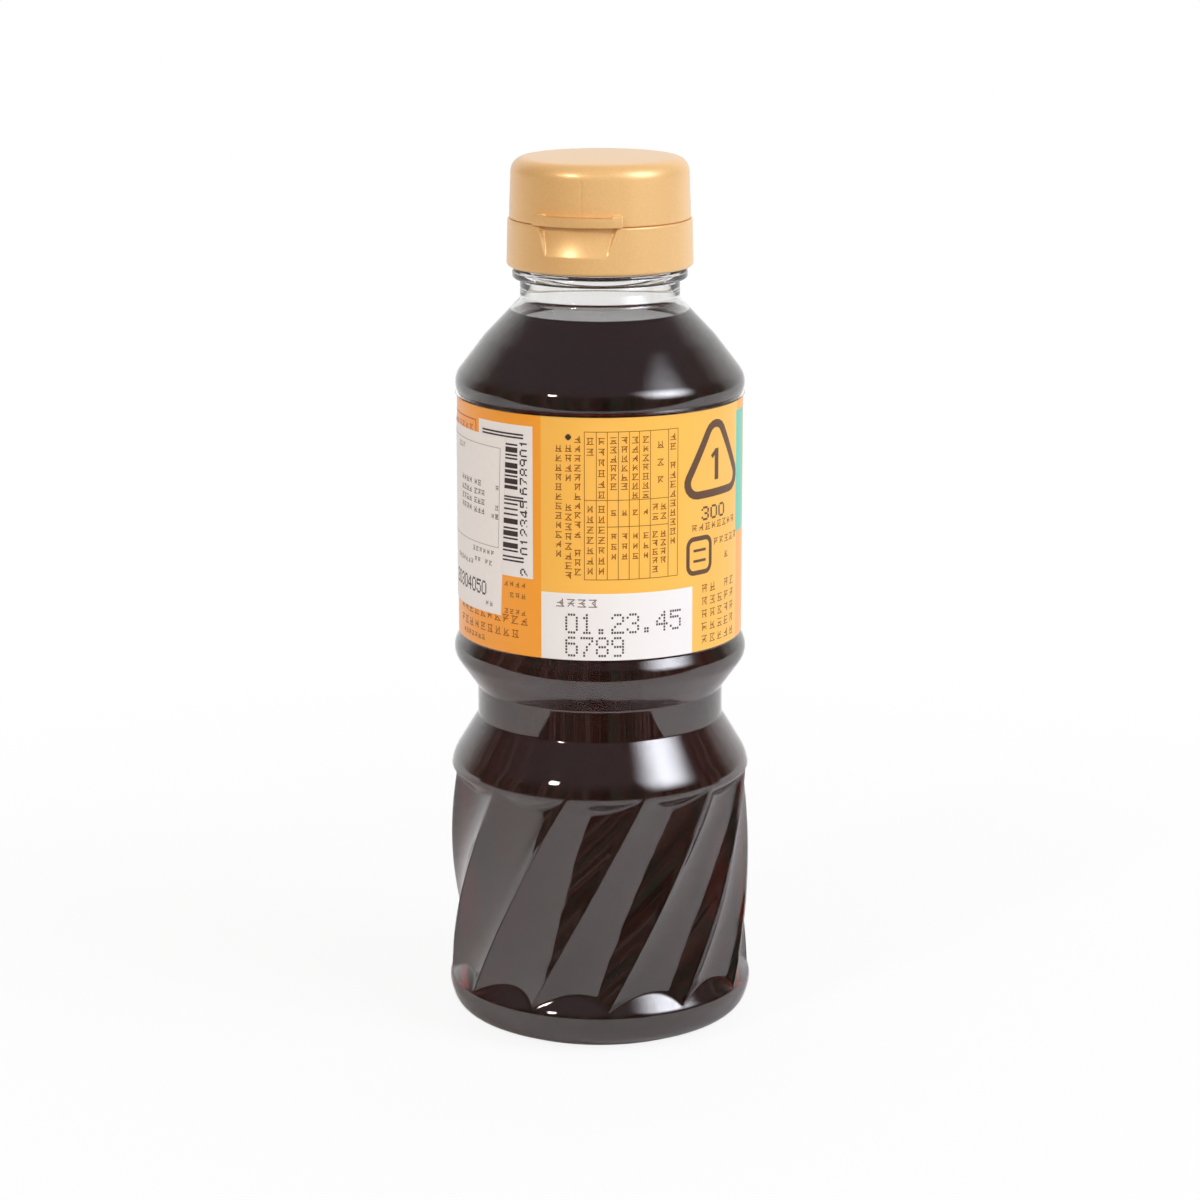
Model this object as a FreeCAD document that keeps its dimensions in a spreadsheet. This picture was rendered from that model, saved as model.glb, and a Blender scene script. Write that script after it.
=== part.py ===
import FreeCAD, Part
import Sketcher
import math
import os

# A clear PET bottle of concentrated soup base, 300 ml, with a paper-thin wrap label, an import
# sticker and a snap-on closure whose lid flips up on a hinge at the back.
# Frame: +Z up, origin at the centre of the bottle's base, -Y the front. Millimetres and degrees.

Vector = FreeCAD.Vector
UP = Vector(0, 0, 1)
HALF_TURN = 180.0
FULL_TURN = 360.0

# ---------------------------------------------------------------- driving sizes

SIZES = {
    # Bottle outline: the corner points of the outer wall, before they are rounded. A radius is
    # measured from the bottle's axis, a height from the base; a blend is the rounding's radius.
    "wall": 0.45,
    "dome_height": 3.5,
    "foot_inner_radius": 20.6,
    "foot_inner_blend": 2.0,
    "foot_radius": 23.0,
    "foot_blend": 4.2,
    "heel_radius": 28.3,
    "heel_height": 2.3,
    "heel_blend": 4.5,
    "belly_radius": 29.5,
    "belly_height": 6.3,
    "belly_blend": 4.3,
    "body_top_radius": 28.85,
    "body_top_height": 51.9,
    "body_top_blend": 8.7,
    "waist_radius": 23.65,
    "waist_bottom": 60.5,
    "waist_top": 66.4,
    "waist_blend": 0.8,
    "low_bead_radius": 28.7,
    "low_bead_height": 73.5,
    "low_bead_blend": 4.05,
    "panel_radius": 27.1,
    "panel_bottom": 77.0,
    "panel_top": 123.6,
    "panel_blend": 0.55,
    "high_bead_radius": 28.4,
    "high_bead_height": 125.8,
    "high_bead_blend": 4.2,
    "shoulder_radius": 21.9,
    "shoulder_height": 134.3,
    "shoulder_blend": 9.5,
    "neck_radius": 15.15,
    "neck_bottom": 141.4,
    "neck_blend": 0.9,
    # Neck, support ring and the plain finish that the closure sits on.
    "neck_overlap": 1.2,
    "ring_bottom": 145.3,
    "ring_thickness": 1.7,
    "ring_radius": 16.6,
    "ring_rounding": 0.5,
    "finish_radius": 14.5,
    "finish_top": 154.6,
    "finish_rounding": 0.3,
    "finish_wall": 1.8,
    "bore_taper_height": 3.2,
    # Twisted flutes round the lower body: channels of circular section with sloped ends.
    "flute_count": 12,
    "flute_turn": 17.65,
    "flute_lead": 340.6,
    "flute_arc_radius": 25.8,
    "flute_valley_radius": 27.03,
    "flute_rim_radius": 29.15,
    "flute_bottom": 8.4,
    "flute_top": 50.7,
    "flute_end_run": 3.0,
    "flute_end_rise": 4.25,
    "flute_run_out": 5.4,
    # Contents, filled into the shoulder.
    "liquid_level": 138.7,
    # Wrap label on the panel, and the import sticker on the label.
    "label_gap": 0.03,
    "label_thickness": 0.12,
    "label_bottom": 77.35,
    "label_height": 45.8,
    "sticker_gap": 0.02,
    "sticker_thickness": 0.10,
    "sticker_bottom": 83.9,
    "sticker_height": 34.8,
    "sticker_arc": 95.0,
    "sticker_middle": 182.9,
    # Closure: collar with a deck and a short pouring spout.
    "cap_front": -105.5,
    "cap_clearance": 0.10,
    "cap_bottom": 147.6,
    "collar_draft": 0.23,
    "cap_bottom_blend": 0.6,
    "cap_split": 156.6,
    "cap_split_radius": 17.45,
    "cap_split_blend": 0.3,
    "cap_rim_width": 1.5,
    "deck_thickness": 1.4,
    "spout_radius": 5.2,
    "spout_bore": 4.0,
    "spout_height": 4.2,
    "spout_rounding": 0.3,
    # Closure: lid.
    "lid_gap": 0.08,
    "lid_step": 0.3,
    "lid_bottom_blend": 0.2,
    "lid_draft": 0.4,
    "lid_height": 11.45,
    "lid_edge_blend": 2.8,
    "lid_wall": 1.3,
    "lid_top_wall": 1.5,
    "lid_inner_blend": 1.6,
    # Thumb tab on the lid and the scoop under it in the collar.
    "tab_reach": 1.0,
    "tab_above": 1.4,
    "tab_below": 1.0,
    "tab_rounding": 0.35,
    "tab_arc": 58.0,
    "tab_lip_arc": 43.0,
    "tab_lip_thickness": 1.3,
    "scoop_depth": 0.95,
    "scoop_radius": 16.5,
    "scoop_drop": 5.6,
    "scoop_corner": 1.4,
    "scoop_top_half": 8.0,
    "scoop_bottom_half": 6.2,
    "scoop_reach": 30.0,
    # Raised hinge band round the back, cut through at the split; its outer edge is the hinge line.
    "hinge_reach": 0.5,
    "hinge_arc": 120.0,
    "hinge_above": 3.1,
    "hinge_below": 1.6,
    "hinge_bevel": 0.6,
}

doc = FreeCAD.newDocument("soup_base_bottle")
sheet = doc.addObject("Spreadsheet::Sheet", "sizes")
for row, (name, value) in enumerate(SIZES.items(), start=1):
    sheet.set(f"A{row}", name)
    sheet.set(f"B{row}", str(value))
    sheet.setAlias(f"B{row}", name)
doc.recompute()


def size(name):
    """The value of one driving size, read from the sheet."""
    return float(sheet.get(name))


def value(terms):
    """The number that a sum such as "panel_radius + label_gap" stands for."""
    total, sign = 0.0, 1.0
    for word in terms.split():
        if word in "+-":
            sign = 1.0 if word == "+" else -1.0
        else:
            total += sign * (size(word) if word in SIZES else float(word))
    return total


def bound(terms):
    """The same sum as an expression on the sheet."""
    return " ".join(f"sizes.{word}" if word in SIZES else word for word in terms.split())


def boolean(kind, name, base, tool):
    """A Part::Cut or Part::Common of two objects."""
    made = doc.addObject(kind, name)
    made.Base = base
    made.Tool = tool
    return made


def fuse(name, *shapes):
    """One solid out of several that overlap."""
    made = doc.addObject("Part::MultiFuse", name)
    made.Shapes = list(shapes)
    made.Refine = True
    return made


def rod(name, radius, bottom, height):
    """A round bar on the bottle's axis, its sizes given as sums."""
    made = doc.addObject("Part::Cylinder", name)
    made.setExpression("Radius", bound(radius))
    made.setExpression("Height", bound(height))
    made.setExpression("Placement.Base.z", bound(bottom))
    return made


# ---------------------------------------------------------------- outlines to be turned

# How a sketch names its own origin and axes, and the points of a line or an arc.
ORIGIN, X_AXIS, Y_AXIS = -1, -1, -2
START, END, CENTRE = 1, 2, 3
NOTHING = 1e-9


def plane_of(body, role):
    """One of a body's own origin planes."""
    return next(f for f in body.Origin.OriginFeatures if f.Role == role)


def pin(sketch, kind, geometry, place, number, expression):
    """Fixes one coordinate of a point: to its axis if it is nothing, else to the expression."""
    if abs(number) < NOTHING:
        axis = Y_AXIS if kind == "DistanceX" else X_AXIS
        sketch.addConstraint(Sketcher.Constraint("PointOnObject", geometry, place, axis))
        return
    points = (ORIGIN, START, geometry, place)
    if number < 0:
        points = (geometry, place, ORIGIN, START)
        expression = f"-({expression})"
    index = sketch.addConstraint(Sketcher.Constraint(kind, *points, abs(number)))
    sketch.setExpression(f"Constraints[{index}]", expression)


def flat(point):
    """A point of the XZ plane as a sketch on that plane holds it."""
    return Vector(point.x, point.z, 0)


def rounded_runs(points, blends, inset):
    """The straight runs of an outline that lies inside the given one by the inset, which is to
    its left, and the arc between each run and the next: None for a sharp corner, else
    (centre, start, end, radius, whether it turns left)."""
    ways = [(b - a).normalize() for a, b in zip(points, points[1:])]
    sides = [Vector(-way.z, 0, way.x) for way in ways]
    moved = [points[0] + Vector(0, 0, inset / sides[0].z)]
    for point, before, after in zip(points[1:], sides, sides[1:]):
        moved.append(point + (before + after) * (inset / (1.0 + before.dot(after))))
    moved.append(points[-1] + Vector(0, 0, inset / sides[-1].z))
    stops = [moved[0]]
    arcs = []
    for i in range(1, len(moved) - 1):
        corner, before, after, side = moved[i], ways[i - 1], ways[i], sides[i - 1]
        if not blends[i]:
            stops += [corner, corner]
            arcs.append(None)
            continue
        turns_left = side.dot(after) > 0
        radius = blends[i] - inset if turns_left else blends[i] + inset
        reach = radius * math.tan(before.getAngle(after) / 2)
        start = corner - before * reach
        end = corner + after * reach
        centre = start + side * (radius if turns_left else -radius)
        stops += [start, end]
        arcs.append((centre, start, end, radius, turns_left))
    stops.append(moved[-1])
    return list(zip(stops[::2], stops[1::2])), arcs


def outline_sketch(body, corners, inset):
    """A closed outline that leaves the axis, runs through the rounded corners with the solid on
    its left, and comes back to the axis. Each corner is (radius, height, blend), the first two
    sums of sizes and the last a size, or None for a sharp corner. The corners are construction
    lines; the inset, if there is one, names how far inside them the outline runs (a leading
    minus sign puts it outside)."""
    sketch = body.newObject("Sketcher::SketchObject", f"{body.Name}_outline")
    sketch.AttachmentSupport = [(plane_of(body, "XZ_Plane"), "")]
    sketch.MapMode = "FlatFace"
    points = [Vector(value(corner[0]), 0, value(corner[1])) for corner in corners]
    blends = [size(corner[2]) if corner[2] else 0.0 for corner in corners]
    outward = inset.startswith("-")
    distance = inset.lstrip("-")
    depth = size(distance) * (-1 if outward else 1) if inset else 0.0
    runs, arcs = rounded_runs(points, blends, depth)

    def line(a, b, construction):
        return sketch.addGeometry(Part.LineSegment(flat(a), flat(b)), construction)

    def relate(*what):
        return sketch.addConstraint(Sketcher.Constraint(*what))

    guides = [line(a, b, True) for a, b in zip(points, points[1:])]
    lines = [line(a, b, False) for a, b in runs]
    stem = line(runs[-1][1], runs[0][0], False)
    for before, after in zip(guides, guides[1:]):
        relate("Coincident", before, END, after, START)
    for i, (radius, height, _) in enumerate(corners):
        geometry, place = (guides[i], START) if i < len(guides) else (guides[-1], END)
        pin(sketch, "DistanceX", geometry, place, value(radius), bound(radius))
        pin(sketch, "DistanceY", geometry, place, value(height), bound(height))
    for guide, run in zip(guides, lines):
        if inset:
            relate("Parallel", guide, run)
            index = relate("Distance", run, END, guide, abs(depth))
            sketch.setExpression(f"Constraints[{index}]", bound(distance))
        else:
            relate("PointOnObject", run, START, guide)
            relate("PointOnObject", run, END, guide)
    for i, arc in enumerate(arcs):
        if arc is None:
            relate("Coincident", lines[i], END, lines[i + 1], START)
            continue
        centre, start, end, radius, turns_left = arc
        ends = (start, end) if turns_left else (end, start)
        angles = [math.atan2(p.z - centre.z, p.x - centre.x) for p in ends]
        circle = Part.Circle(flat(centre), UP, radius)
        bend = sketch.addGeometry(Part.ArcOfCircle(circle, *angles), False)
        near, far = (START, END) if turns_left else (END, START)
        relate("Tangent", lines[i], END, bend, near)
        relate("Tangent", bend, far, lines[i + 1], START)
        index = relate("Radius", bend, radius)
        sign = "-" if turns_left != outward else "+"
        change = f" {sign} {bound(distance)}" if inset else ""
        sketch.setExpression(f"Constraints[{index}]", bound(corners[i + 1][2]) + change)
    relate("PointOnObject", lines[0], START, Y_AXIS)
    relate("PointOnObject", lines[-1], END, Y_AXIS)
    relate("Coincident", lines[-1], END, stem, START)
    relate("Coincident", stem, END, lines[0], START)
    return sketch


def turned(name, corners, inset="", arc="", turn=0.0):
    """A solid turned from an outline: all the way round, or through an arc whose middle is
    turned to the given direction."""
    body = doc.addObject("PartDesign::Body", name)
    sketch = outline_sketch(body, corners, inset)
    solid = body.newObject("PartDesign::Revolution", f"{name}_turned")
    solid.Profile = sketch
    solid.ReferenceAxis = (sketch, ["V_Axis"])
    solid.Angle = FULL_TURN
    if arc:
        solid.Midplane = True
        solid.setExpression("Angle", bound(arc))
        body.Placement = FreeCAD.Placement(Vector(), FreeCAD.Rotation(UP, turn))
    sketch.Visibility = False
    return body


# ---------------------------------------------------------------- bottle form

OUTER_WALL = [
    ("0", "dome_height", None),
    ("foot_inner_radius", "0", "foot_inner_blend"),
    ("foot_radius", "0", "foot_blend"),
    ("heel_radius", "heel_height", "heel_blend"),
    ("belly_radius", "belly_height", "belly_blend"),
    ("body_top_radius", "body_top_height", "body_top_blend"),
    ("waist_radius", "waist_bottom", "waist_blend"),
    ("waist_radius", "waist_top", "waist_blend"),
    ("low_bead_radius", "low_bead_height", "low_bead_blend"),
    ("panel_radius", "panel_bottom", "panel_blend"),
    ("panel_radius", "panel_top", "panel_blend"),
    ("high_bead_radius", "high_bead_height", "high_bead_blend"),
    ("shoulder_radius", "shoulder_height", "shoulder_blend"),
    ("neck_radius", "neck_bottom", "neck_blend"),
]
INNER_TOP = "neck_bottom + neck_overlap"
BORE_RADIUS = "finish_radius - finish_wall"

FLUTE_ZONE = [
    ("0", "flute_bottom + flute_end_rise", None),
    ("flute_rim_radius - flute_end_run", "flute_bottom + flute_end_rise", None),
    ("flute_rim_radius + flute_end_run", "flute_bottom - flute_end_rise", None),
    ("flute_rim_radius + flute_end_run", "flute_top + flute_end_rise", None),
    ("flute_rim_radius - flute_end_run", "flute_top - flute_end_rise", None),
    ("0", "flute_top - flute_end_rise", None),
]


def channel_section(name, deeper):
    """The cross-section that is left between the flutes: one hollow arc for each flute, meeting
    in sharp ridges. The arcs' radius and so their depth grow by the size called deeper."""
    sketch = doc.addObject("Sketcher::SketchObject", name)
    extra = size(deeper) if deeper else 0.0
    count = int(size("flute_count"))
    radius = size("flute_arc_radius") + extra
    away = size("flute_valley_radius") + size("flute_arc_radius")
    half = math.pi / count
    # The ridge is where two neighbouring circles meet on the line between their flutes.
    middle = away * math.cos(half)
    ridge = middle - math.sqrt(middle**2 - away**2 + radius**2)
    lean = math.asin(ridge * math.sin(half) / radius)
    arcs = []
    for i in range(count):
        way = FULL_TURN * i / count
        angle = math.radians(way)
        centre = Vector(away * math.cos(angle), away * math.sin(angle), 0)
        span = (angle + math.pi - lean, angle + math.pi + lean)
        arcs.append(sketch.addGeometry(Part.ArcOfCircle(Part.Circle(centre, UP, radius), *span)))
        reach = "(sizes.flute_valley_radius + sizes.flute_arc_radius)"
        pin(sketch, "DistanceX", arcs[i], CENTRE, centre.x, f"{reach} * cos({way} deg)")
        pin(sketch, "DistanceY", arcs[i], CENTRE, centre.y, f"{reach} * sin({way} deg)")
        index = sketch.addConstraint(Sketcher.Constraint("Radius", arcs[i], radius))
        total = bound("flute_arc_radius + " + deeper if deeper else "flute_arc_radius")
        sketch.setExpression(f"Constraints[{index}]", total)
    for i in range(count):
        after = arcs[(i + 1) % count]
        sketch.addConstraint(Sketcher.Constraint("Coincident", arcs[i], START, after, END))
    sketch.Placement = FreeCAD.Placement(Vector(), FreeCAD.Rotation(UP, 1.0))
    sketch.setExpression("Placement.Base.z", bound("flute_bottom - flute_run_out"))
    turn = "sizes.flute_turn - 360 * sizes.flute_run_out / sizes.flute_lead"
    sketch.setExpression("Placement.Rotation.Angle", turn)
    sketch.Visibility = False
    return sketch


def flutes(name, deeper):
    """All the flutes as one solid to cut away: the zone they lie in, less the twisted bar that is
    left between them. The size called deeper widens the cut all round."""
    helix = doc.addObject("Part::Helix", f"{name}_helix")
    helix.Radius = 10
    helix.setExpression("Pitch", bound("flute_lead"))
    helix.setExpression("Height", bound("flute_top - flute_bottom + flute_run_out + flute_run_out"))
    helix.setExpression("Placement.Base.z", bound("flute_bottom - flute_run_out"))
    twist = doc.addObject("Part::Sweep", f"{name}_twisted_bar")
    twist.Sections = [channel_section(f"{name}_section", deeper)]
    twist.Spine = (helix, [])
    twist.Solid = True
    twist.Frenet = True
    zone = turned(f"{name}_zone", FLUTE_ZONE, inset=f"-{deeper}" if deeper else "")
    return boolean("Part::Cut", name, zone, twist)


outer_blank = turned(
    "outer_blank", OUTER_WALL + [("neck_radius", "ring_bottom", None), ("0", "ring_bottom", None)]
)
outer_form = boolean("Part::Cut", "outer_form", outer_blank, flutes("outer_flutes", ""))
finish = turned("finish", [
    ("0", "ring_bottom", None),
    ("ring_radius", "ring_bottom", "ring_rounding"),
    ("ring_radius", "ring_bottom + ring_thickness", "ring_rounding"),
    ("finish_radius", "ring_bottom + ring_thickness", "finish_rounding"),
    ("finish_radius", "finish_top", "finish_rounding"),
    ("0", "finish_top", None),
])

inner_blank = turned(
    "inner_blank", OUTER_WALL + [("neck_radius", INNER_TOP, None), ("0", INNER_TOP, None)], inset="wall"
)
inner_form = boolean("Part::Cut", "inner_form", inner_blank, flutes("inner_flutes", "wall"))
taper = doc.addObject("Part::Cone", "bore_taper")
taper.setExpression("Radius1", bound("neck_radius - wall"))
taper.setExpression("Radius2", bound(BORE_RADIUS))
taper.setExpression("Height", bound("bore_taper_height"))
taper.setExpression("Placement.Base.z", bound(INNER_TOP + " - wall"))
bore = rod(
    "bore", BORE_RADIUS, INNER_TOP + " - wall + bore_taper_height",
    "finish_top - neck_bottom - neck_overlap + wall - bore_taper_height + 1",
)
cavity = fuse("cavity", inner_form, taper, bore)
bottle = boolean("Part::Cut", "bottle", fuse("bottle_form", outer_form, finish), cavity)
soup_base = boolean(
    "Part::Common", "soup_base", inner_form, rod("fill", "belly_radius + panel_radius", "0", "liquid_level")
)

# ---------------------------------------------------------------- label and sticker

LABEL_INSIDE = "panel_radius + label_gap"
LABEL_OUTSIDE = LABEL_INSIDE + " + label_thickness"
STICKER_INSIDE = LABEL_OUTSIDE + " + sticker_gap"
STICKER_OUTSIDE = STICKER_INSIDE + " + sticker_thickness"
label = boolean(
    "Part::Cut", "label",
    rod("label_outside", LABEL_OUTSIDE, "label_bottom", "label_height"),
    rod("label_inside", LABEL_INSIDE, "label_bottom", "label_height"),
)
sticker_block = rod("sticker_outside", STICKER_OUTSIDE, "sticker_bottom", "sticker_height")
sticker_block.setExpression("Angle", bound("sticker_arc"))
sticker_block.Placement.Rotation = FreeCAD.Rotation(UP, 1.0)
sticker_block.setExpression(
    "Placement.Rotation.Angle", "sizes.sticker_middle - sizes.sticker_arc / 2"
)
import_sticker = boolean(
    "Part::Cut", "import_sticker", sticker_block,
    rod("sticker_inside", STICKER_INSIDE, "sticker_bottom", "sticker_height"),
)

# ---------------------------------------------------------------- closure

FRONT = size("cap_front")
BACK = FRONT + HALF_TURN
DECK_TOP = "finish_top + deck_thickness"
SPOUT_TOP = DECK_TOP + " + spout_height"
HINGE_RADIUS = "cap_split_radius + hinge_reach"
LID_BOTTOM = "cap_split + lid_gap"
LID_TOP = "cap_split + lid_height"
LID_RADIUS = "cap_split_radius - lid_step"
LID_EDGE_RADIUS = LID_RADIUS + " - lid_draft"
TAB_RADIUS = LID_RADIUS + " + tab_reach"

collar_blank = turned("collar_blank", [
    ("0", "cap_bottom", None),
    ("cap_split_radius + collar_draft", "cap_bottom", "cap_bottom_blend"),
    ("cap_split_radius", "cap_split", "cap_split_blend"),
    ("cap_split_radius - cap_rim_width", "cap_split", None),
    ("cap_split_radius - cap_rim_width", DECK_TOP, None),
    ("spout_radius", DECK_TOP, "spout_rounding"),
    ("spout_radius", SPOUT_TOP, "spout_rounding"),
    ("0", SPOUT_TOP, None),
])
collar_band = turned("collar_band", [
    ("0", "cap_split - hinge_below", None),
    ("cap_split_radius", "cap_split - hinge_below", None),
    (HINGE_RADIUS, "cap_split - hinge_below + hinge_reach", None),
    (HINGE_RADIUS, "cap_split", None),
    ("0", "cap_split", None),
], arc="hinge_arc", turn=BACK)
collar_band_ring = boolean(
    "Part::Cut", "collar_band_ring", collar_band,
    rod("collar_band_inside", "cap_split_radius - cap_rim_width", "cap_bottom", "cap_split"),
)
finish_socket = rod(
    "finish_socket", "finish_radius + cap_clearance", "cap_bottom - 1", "finish_top - cap_bottom + 1"
)
spout_bore = rod("spout_bore_hole", "spout_bore", "cap_bottom", "cap_split")

# The scoop is a hollow of circular section round the collar, kept only where a rounded trapezoid
# in front of the tab meets it.
hollow = doc.addObject("Part::Torus", "scoop_hollow")
hollow.setExpression("Radius1", bound("cap_split_radius - scoop_depth + scoop_radius"))
hollow.setExpression("Radius2", bound("scoop_radius"))
hollow.setExpression("Placement.Base.z", bound("cap_split"))
scoop_window = doc.addObject("PartDesign::Body", "scoop_window")
window_outline = outline_sketch(scoop_window, [
    ("0", "cap_split - scoop_drop", None),
    ("scoop_bottom_half", "cap_split - scoop_drop", "scoop_corner"),
    ("scoop_top_half", "cap_split + 1", None),
    ("0", "cap_split + 1", None),
], "")
window_half = scoop_window.newObject("PartDesign::Pad", "scoop_window_half")
window_half.Profile = window_outline
window_half.setExpression("Length", bound("scoop_reach"))
window_whole = scoop_window.newObject("PartDesign::Mirrored", "scoop_window_whole")
window_whole.Originals = [window_half]
window_whole.MirrorPlane = (window_outline, ["V_Axis"])
scoop_window.Tip = window_whole
scoop_window.Placement = FreeCAD.Placement(Vector(), FreeCAD.Rotation(UP, FRONT + HALF_TURN / 2))
scoop = boolean("Part::Common", "scoop", hollow, scoop_window)
collar_cuts = fuse("collar_cuts", finish_socket, spout_bore, scoop)
cap_base = boolean("Part::Cut", "cap_base", fuse("collar", collar_blank, collar_band_ring), collar_cuts)

lid_blank = turned("lid_blank", [
    ("0", LID_BOTTOM, None),
    (LID_RADIUS, LID_BOTTOM, "lid_bottom_blend"),
    (LID_EDGE_RADIUS, LID_TOP, "lid_edge_blend"),
    ("0", LID_TOP, None),
])
lid_band = turned("lid_band", [
    ("0", LID_BOTTOM, None),
    (HINGE_RADIUS, LID_BOTTOM, None),
    (HINGE_RADIUS, LID_BOTTOM + " + hinge_above - hinge_bevel", None),
    (LID_EDGE_RADIUS, LID_BOTTOM + " + hinge_above", None),
    ("0", LID_BOTTOM + " + hinge_above", None),
], arc="hinge_arc", turn=BACK)
tab_bar = turned("tab_bar", [
    ("0", LID_BOTTOM, None),
    (TAB_RADIUS, LID_BOTTOM, None),
    (TAB_RADIUS, "cap_split + tab_above", "tab_rounding"),
    ("0", "cap_split + tab_above", None),
], arc="tab_arc", turn=FRONT)
tab_lip = turned("tab_lip", [
    ("0", "cap_split - tab_below", None),
    (TAB_RADIUS, "cap_split - tab_below", "tab_rounding"),
    (TAB_RADIUS, "cap_split + tab_above", "tab_rounding"),
    ("0", "cap_split + tab_above", None),
], arc="tab_lip_arc", turn=FRONT)
tab_lip_bar = boolean(
    "Part::Cut", "tab_lip_bar", tab_lip,
    rod("tab_lip_inside", TAB_RADIUS + " - tab_lip_thickness", "cap_bottom", "cap_split"),
)
lid_hollow = turned("lid_hollow", [
    ("0", LID_BOTTOM + " - 3", None),
    (LID_RADIUS + " - lid_wall", LID_BOTTOM + " - 3", None),
    (LID_EDGE_RADIUS + " - lid_wall", LID_TOP + " - lid_top_wall", "lid_inner_blend"),
    ("0", LID_TOP + " - lid_top_wall", None),
])
cap_lid = boolean(
    "Part::Cut", "cap_lid", fuse("lid_form", lid_blank, lid_band, tab_bar, tab_lip_bar), lid_hollow
)

# ---------------------------------------------------------------- result

doc.recompute()
for made in doc.Objects:
    if "Invalid" in made.State or "Error" in made.State:
        raise RuntimeError(f"{made.Name} did not compute: {made.State}")

NODES = [bottle, soup_base, label, import_sticker, cap_base, cap_lid]
os.makedirs("parts", exist_ok=True)
for node in NODES:
    node.Label = node.Name
    shape = node.Shape
    if shape.isNull() or not shape.isValid() or len(shape.Solids) != 1:
        raise RuntimeError(f"{node.Name} is not one valid solid")
    shape.exportStep(f"parts/{node.Name}.step")
    box = shape.optimalBoundingBox(False)
    print(
        f"{node.Name}: {shape.Volume / 1000:.2f} cm3, {len(shape.Faces)} faces, "
        f"x {box.XMin:.2f}..{box.XMax:.2f} y {box.YMin:.2f}..{box.YMax:.2f} "
        f"z {box.ZMin:.2f}..{box.ZMax:.2f}"
    )
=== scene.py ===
# %% [markdown]
# # A bottle of soup base
#
# A blown PET bottle with twisted flutes, filled with a dark liquid soup base. It has a wrap
# label, an import sticker and a gold flip-top cap. The measured solids of the bottle are loaded
# first. Every piece below is then modelled finely, in metres, exactly where its solid lies.

# %% Load the measured frame
import math
import random

import bpy
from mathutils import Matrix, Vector


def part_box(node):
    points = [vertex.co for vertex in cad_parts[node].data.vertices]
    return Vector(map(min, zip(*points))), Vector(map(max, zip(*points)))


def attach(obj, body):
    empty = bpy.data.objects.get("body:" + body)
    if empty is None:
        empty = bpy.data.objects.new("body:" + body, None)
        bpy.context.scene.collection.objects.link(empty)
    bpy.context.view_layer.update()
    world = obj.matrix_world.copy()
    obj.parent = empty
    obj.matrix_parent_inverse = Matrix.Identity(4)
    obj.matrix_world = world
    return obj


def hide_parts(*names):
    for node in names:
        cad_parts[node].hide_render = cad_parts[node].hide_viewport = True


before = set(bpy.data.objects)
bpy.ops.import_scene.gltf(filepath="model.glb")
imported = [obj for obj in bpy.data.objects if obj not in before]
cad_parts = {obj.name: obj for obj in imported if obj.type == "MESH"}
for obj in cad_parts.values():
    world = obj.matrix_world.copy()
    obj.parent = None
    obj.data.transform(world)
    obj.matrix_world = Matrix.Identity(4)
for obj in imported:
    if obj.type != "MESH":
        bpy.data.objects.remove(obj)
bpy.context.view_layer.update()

MM = 0.001
print("nodes:", sorted(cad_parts))

# %% [markdown]
# ## Small helpers
#
# A lesson in Blender usually starts with the same few habits: clear the selection before adding
# something, turn a web colour into the linear numbers that shaders work in, and have one short
# way to add a shader node. These are those habits as functions.

# %% Selection, colours and nodes
def select_only(*pieces):
    """Leaves just these objects selected, the first of them active."""
    if bpy.context.object and bpy.context.object.mode == "EDIT":
        bpy.ops.object.mode_set(mode="OBJECT")
    bpy.ops.object.select_all(action="DESELECT")
    for piece in pieces:
        piece.select_set(True)
    if pieces:
        bpy.context.view_layer.objects.active = pieces[0]


def linear(web_colour):
    """Turns an sRGB hex colour into the linear RGBA that shaders use."""
    channels = [int(web_colour[i:i + 2], 16) / 255 for i in (1, 3, 5)]
    return (*[c / 12.92 if c <= 0.04045 else ((c + 0.055) / 1.055) ** 2.4 for c in channels], 1.0)


def add_node(tree, kind, settings=None, **inputs):
    """Adds a shader node. Settings are its properties; inputs are sockets, given a value or a
    socket to link from. A socket with a space in its name is written with underscores, and one
    that is known by its number only as in_0, in_1 and so on."""
    node = tree.nodes.new(kind)
    for key, setting in (settings or {}).items():
        setattr(node, key, setting)
    for key, given in inputs.items():
        number = key.startswith("in_")
        socket = node.inputs[int(key[3:])] if number else node.inputs[key.replace("_", " ")]
        if isinstance(given, bpy.types.NodeSocket):
            tree.links.new(given, socket)
        else:
            socket.default_value = given
    return node


def new_material(name):
    """A material with an empty tree and its output node."""
    material = bpy.data.materials.new(name)
    material.use_nodes = True
    material.node_tree.nodes.clear()
    return material, material.node_tree, material.node_tree.nodes.new("ShaderNodeOutputMaterial")


# %% [markdown]
# ## Camera
#
# The bottle is looked at a little from above, with a long lens, as a shop would show it. The tilt
# and the distance are what decide how round the label's edges look.

# %% Camera
SENSOR_WIDTH = 36.0
LENS = 105.0
CAMERA_DISTANCE = 657.6 * MM
CAMERA_HEIGHT = 238.9 * MM
CAMERA_TILT = math.radians(13.38)

camera_data = bpy.data.cameras.new("camera")
camera_data.sensor_width = SENSOR_WIDTH
camera_data.lens = LENS
camera = bpy.data.objects.new("camera", camera_data)
camera.location = (0, -CAMERA_DISTANCE, CAMERA_HEIGHT)
camera.rotation_euler = (math.pi / 2 - CAMERA_TILT, 0, 0)
bpy.context.collection.objects.link(camera)
bpy.context.scene.camera = camera
print("camera height, mm:", CAMERA_HEIGHT / MM)

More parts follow.
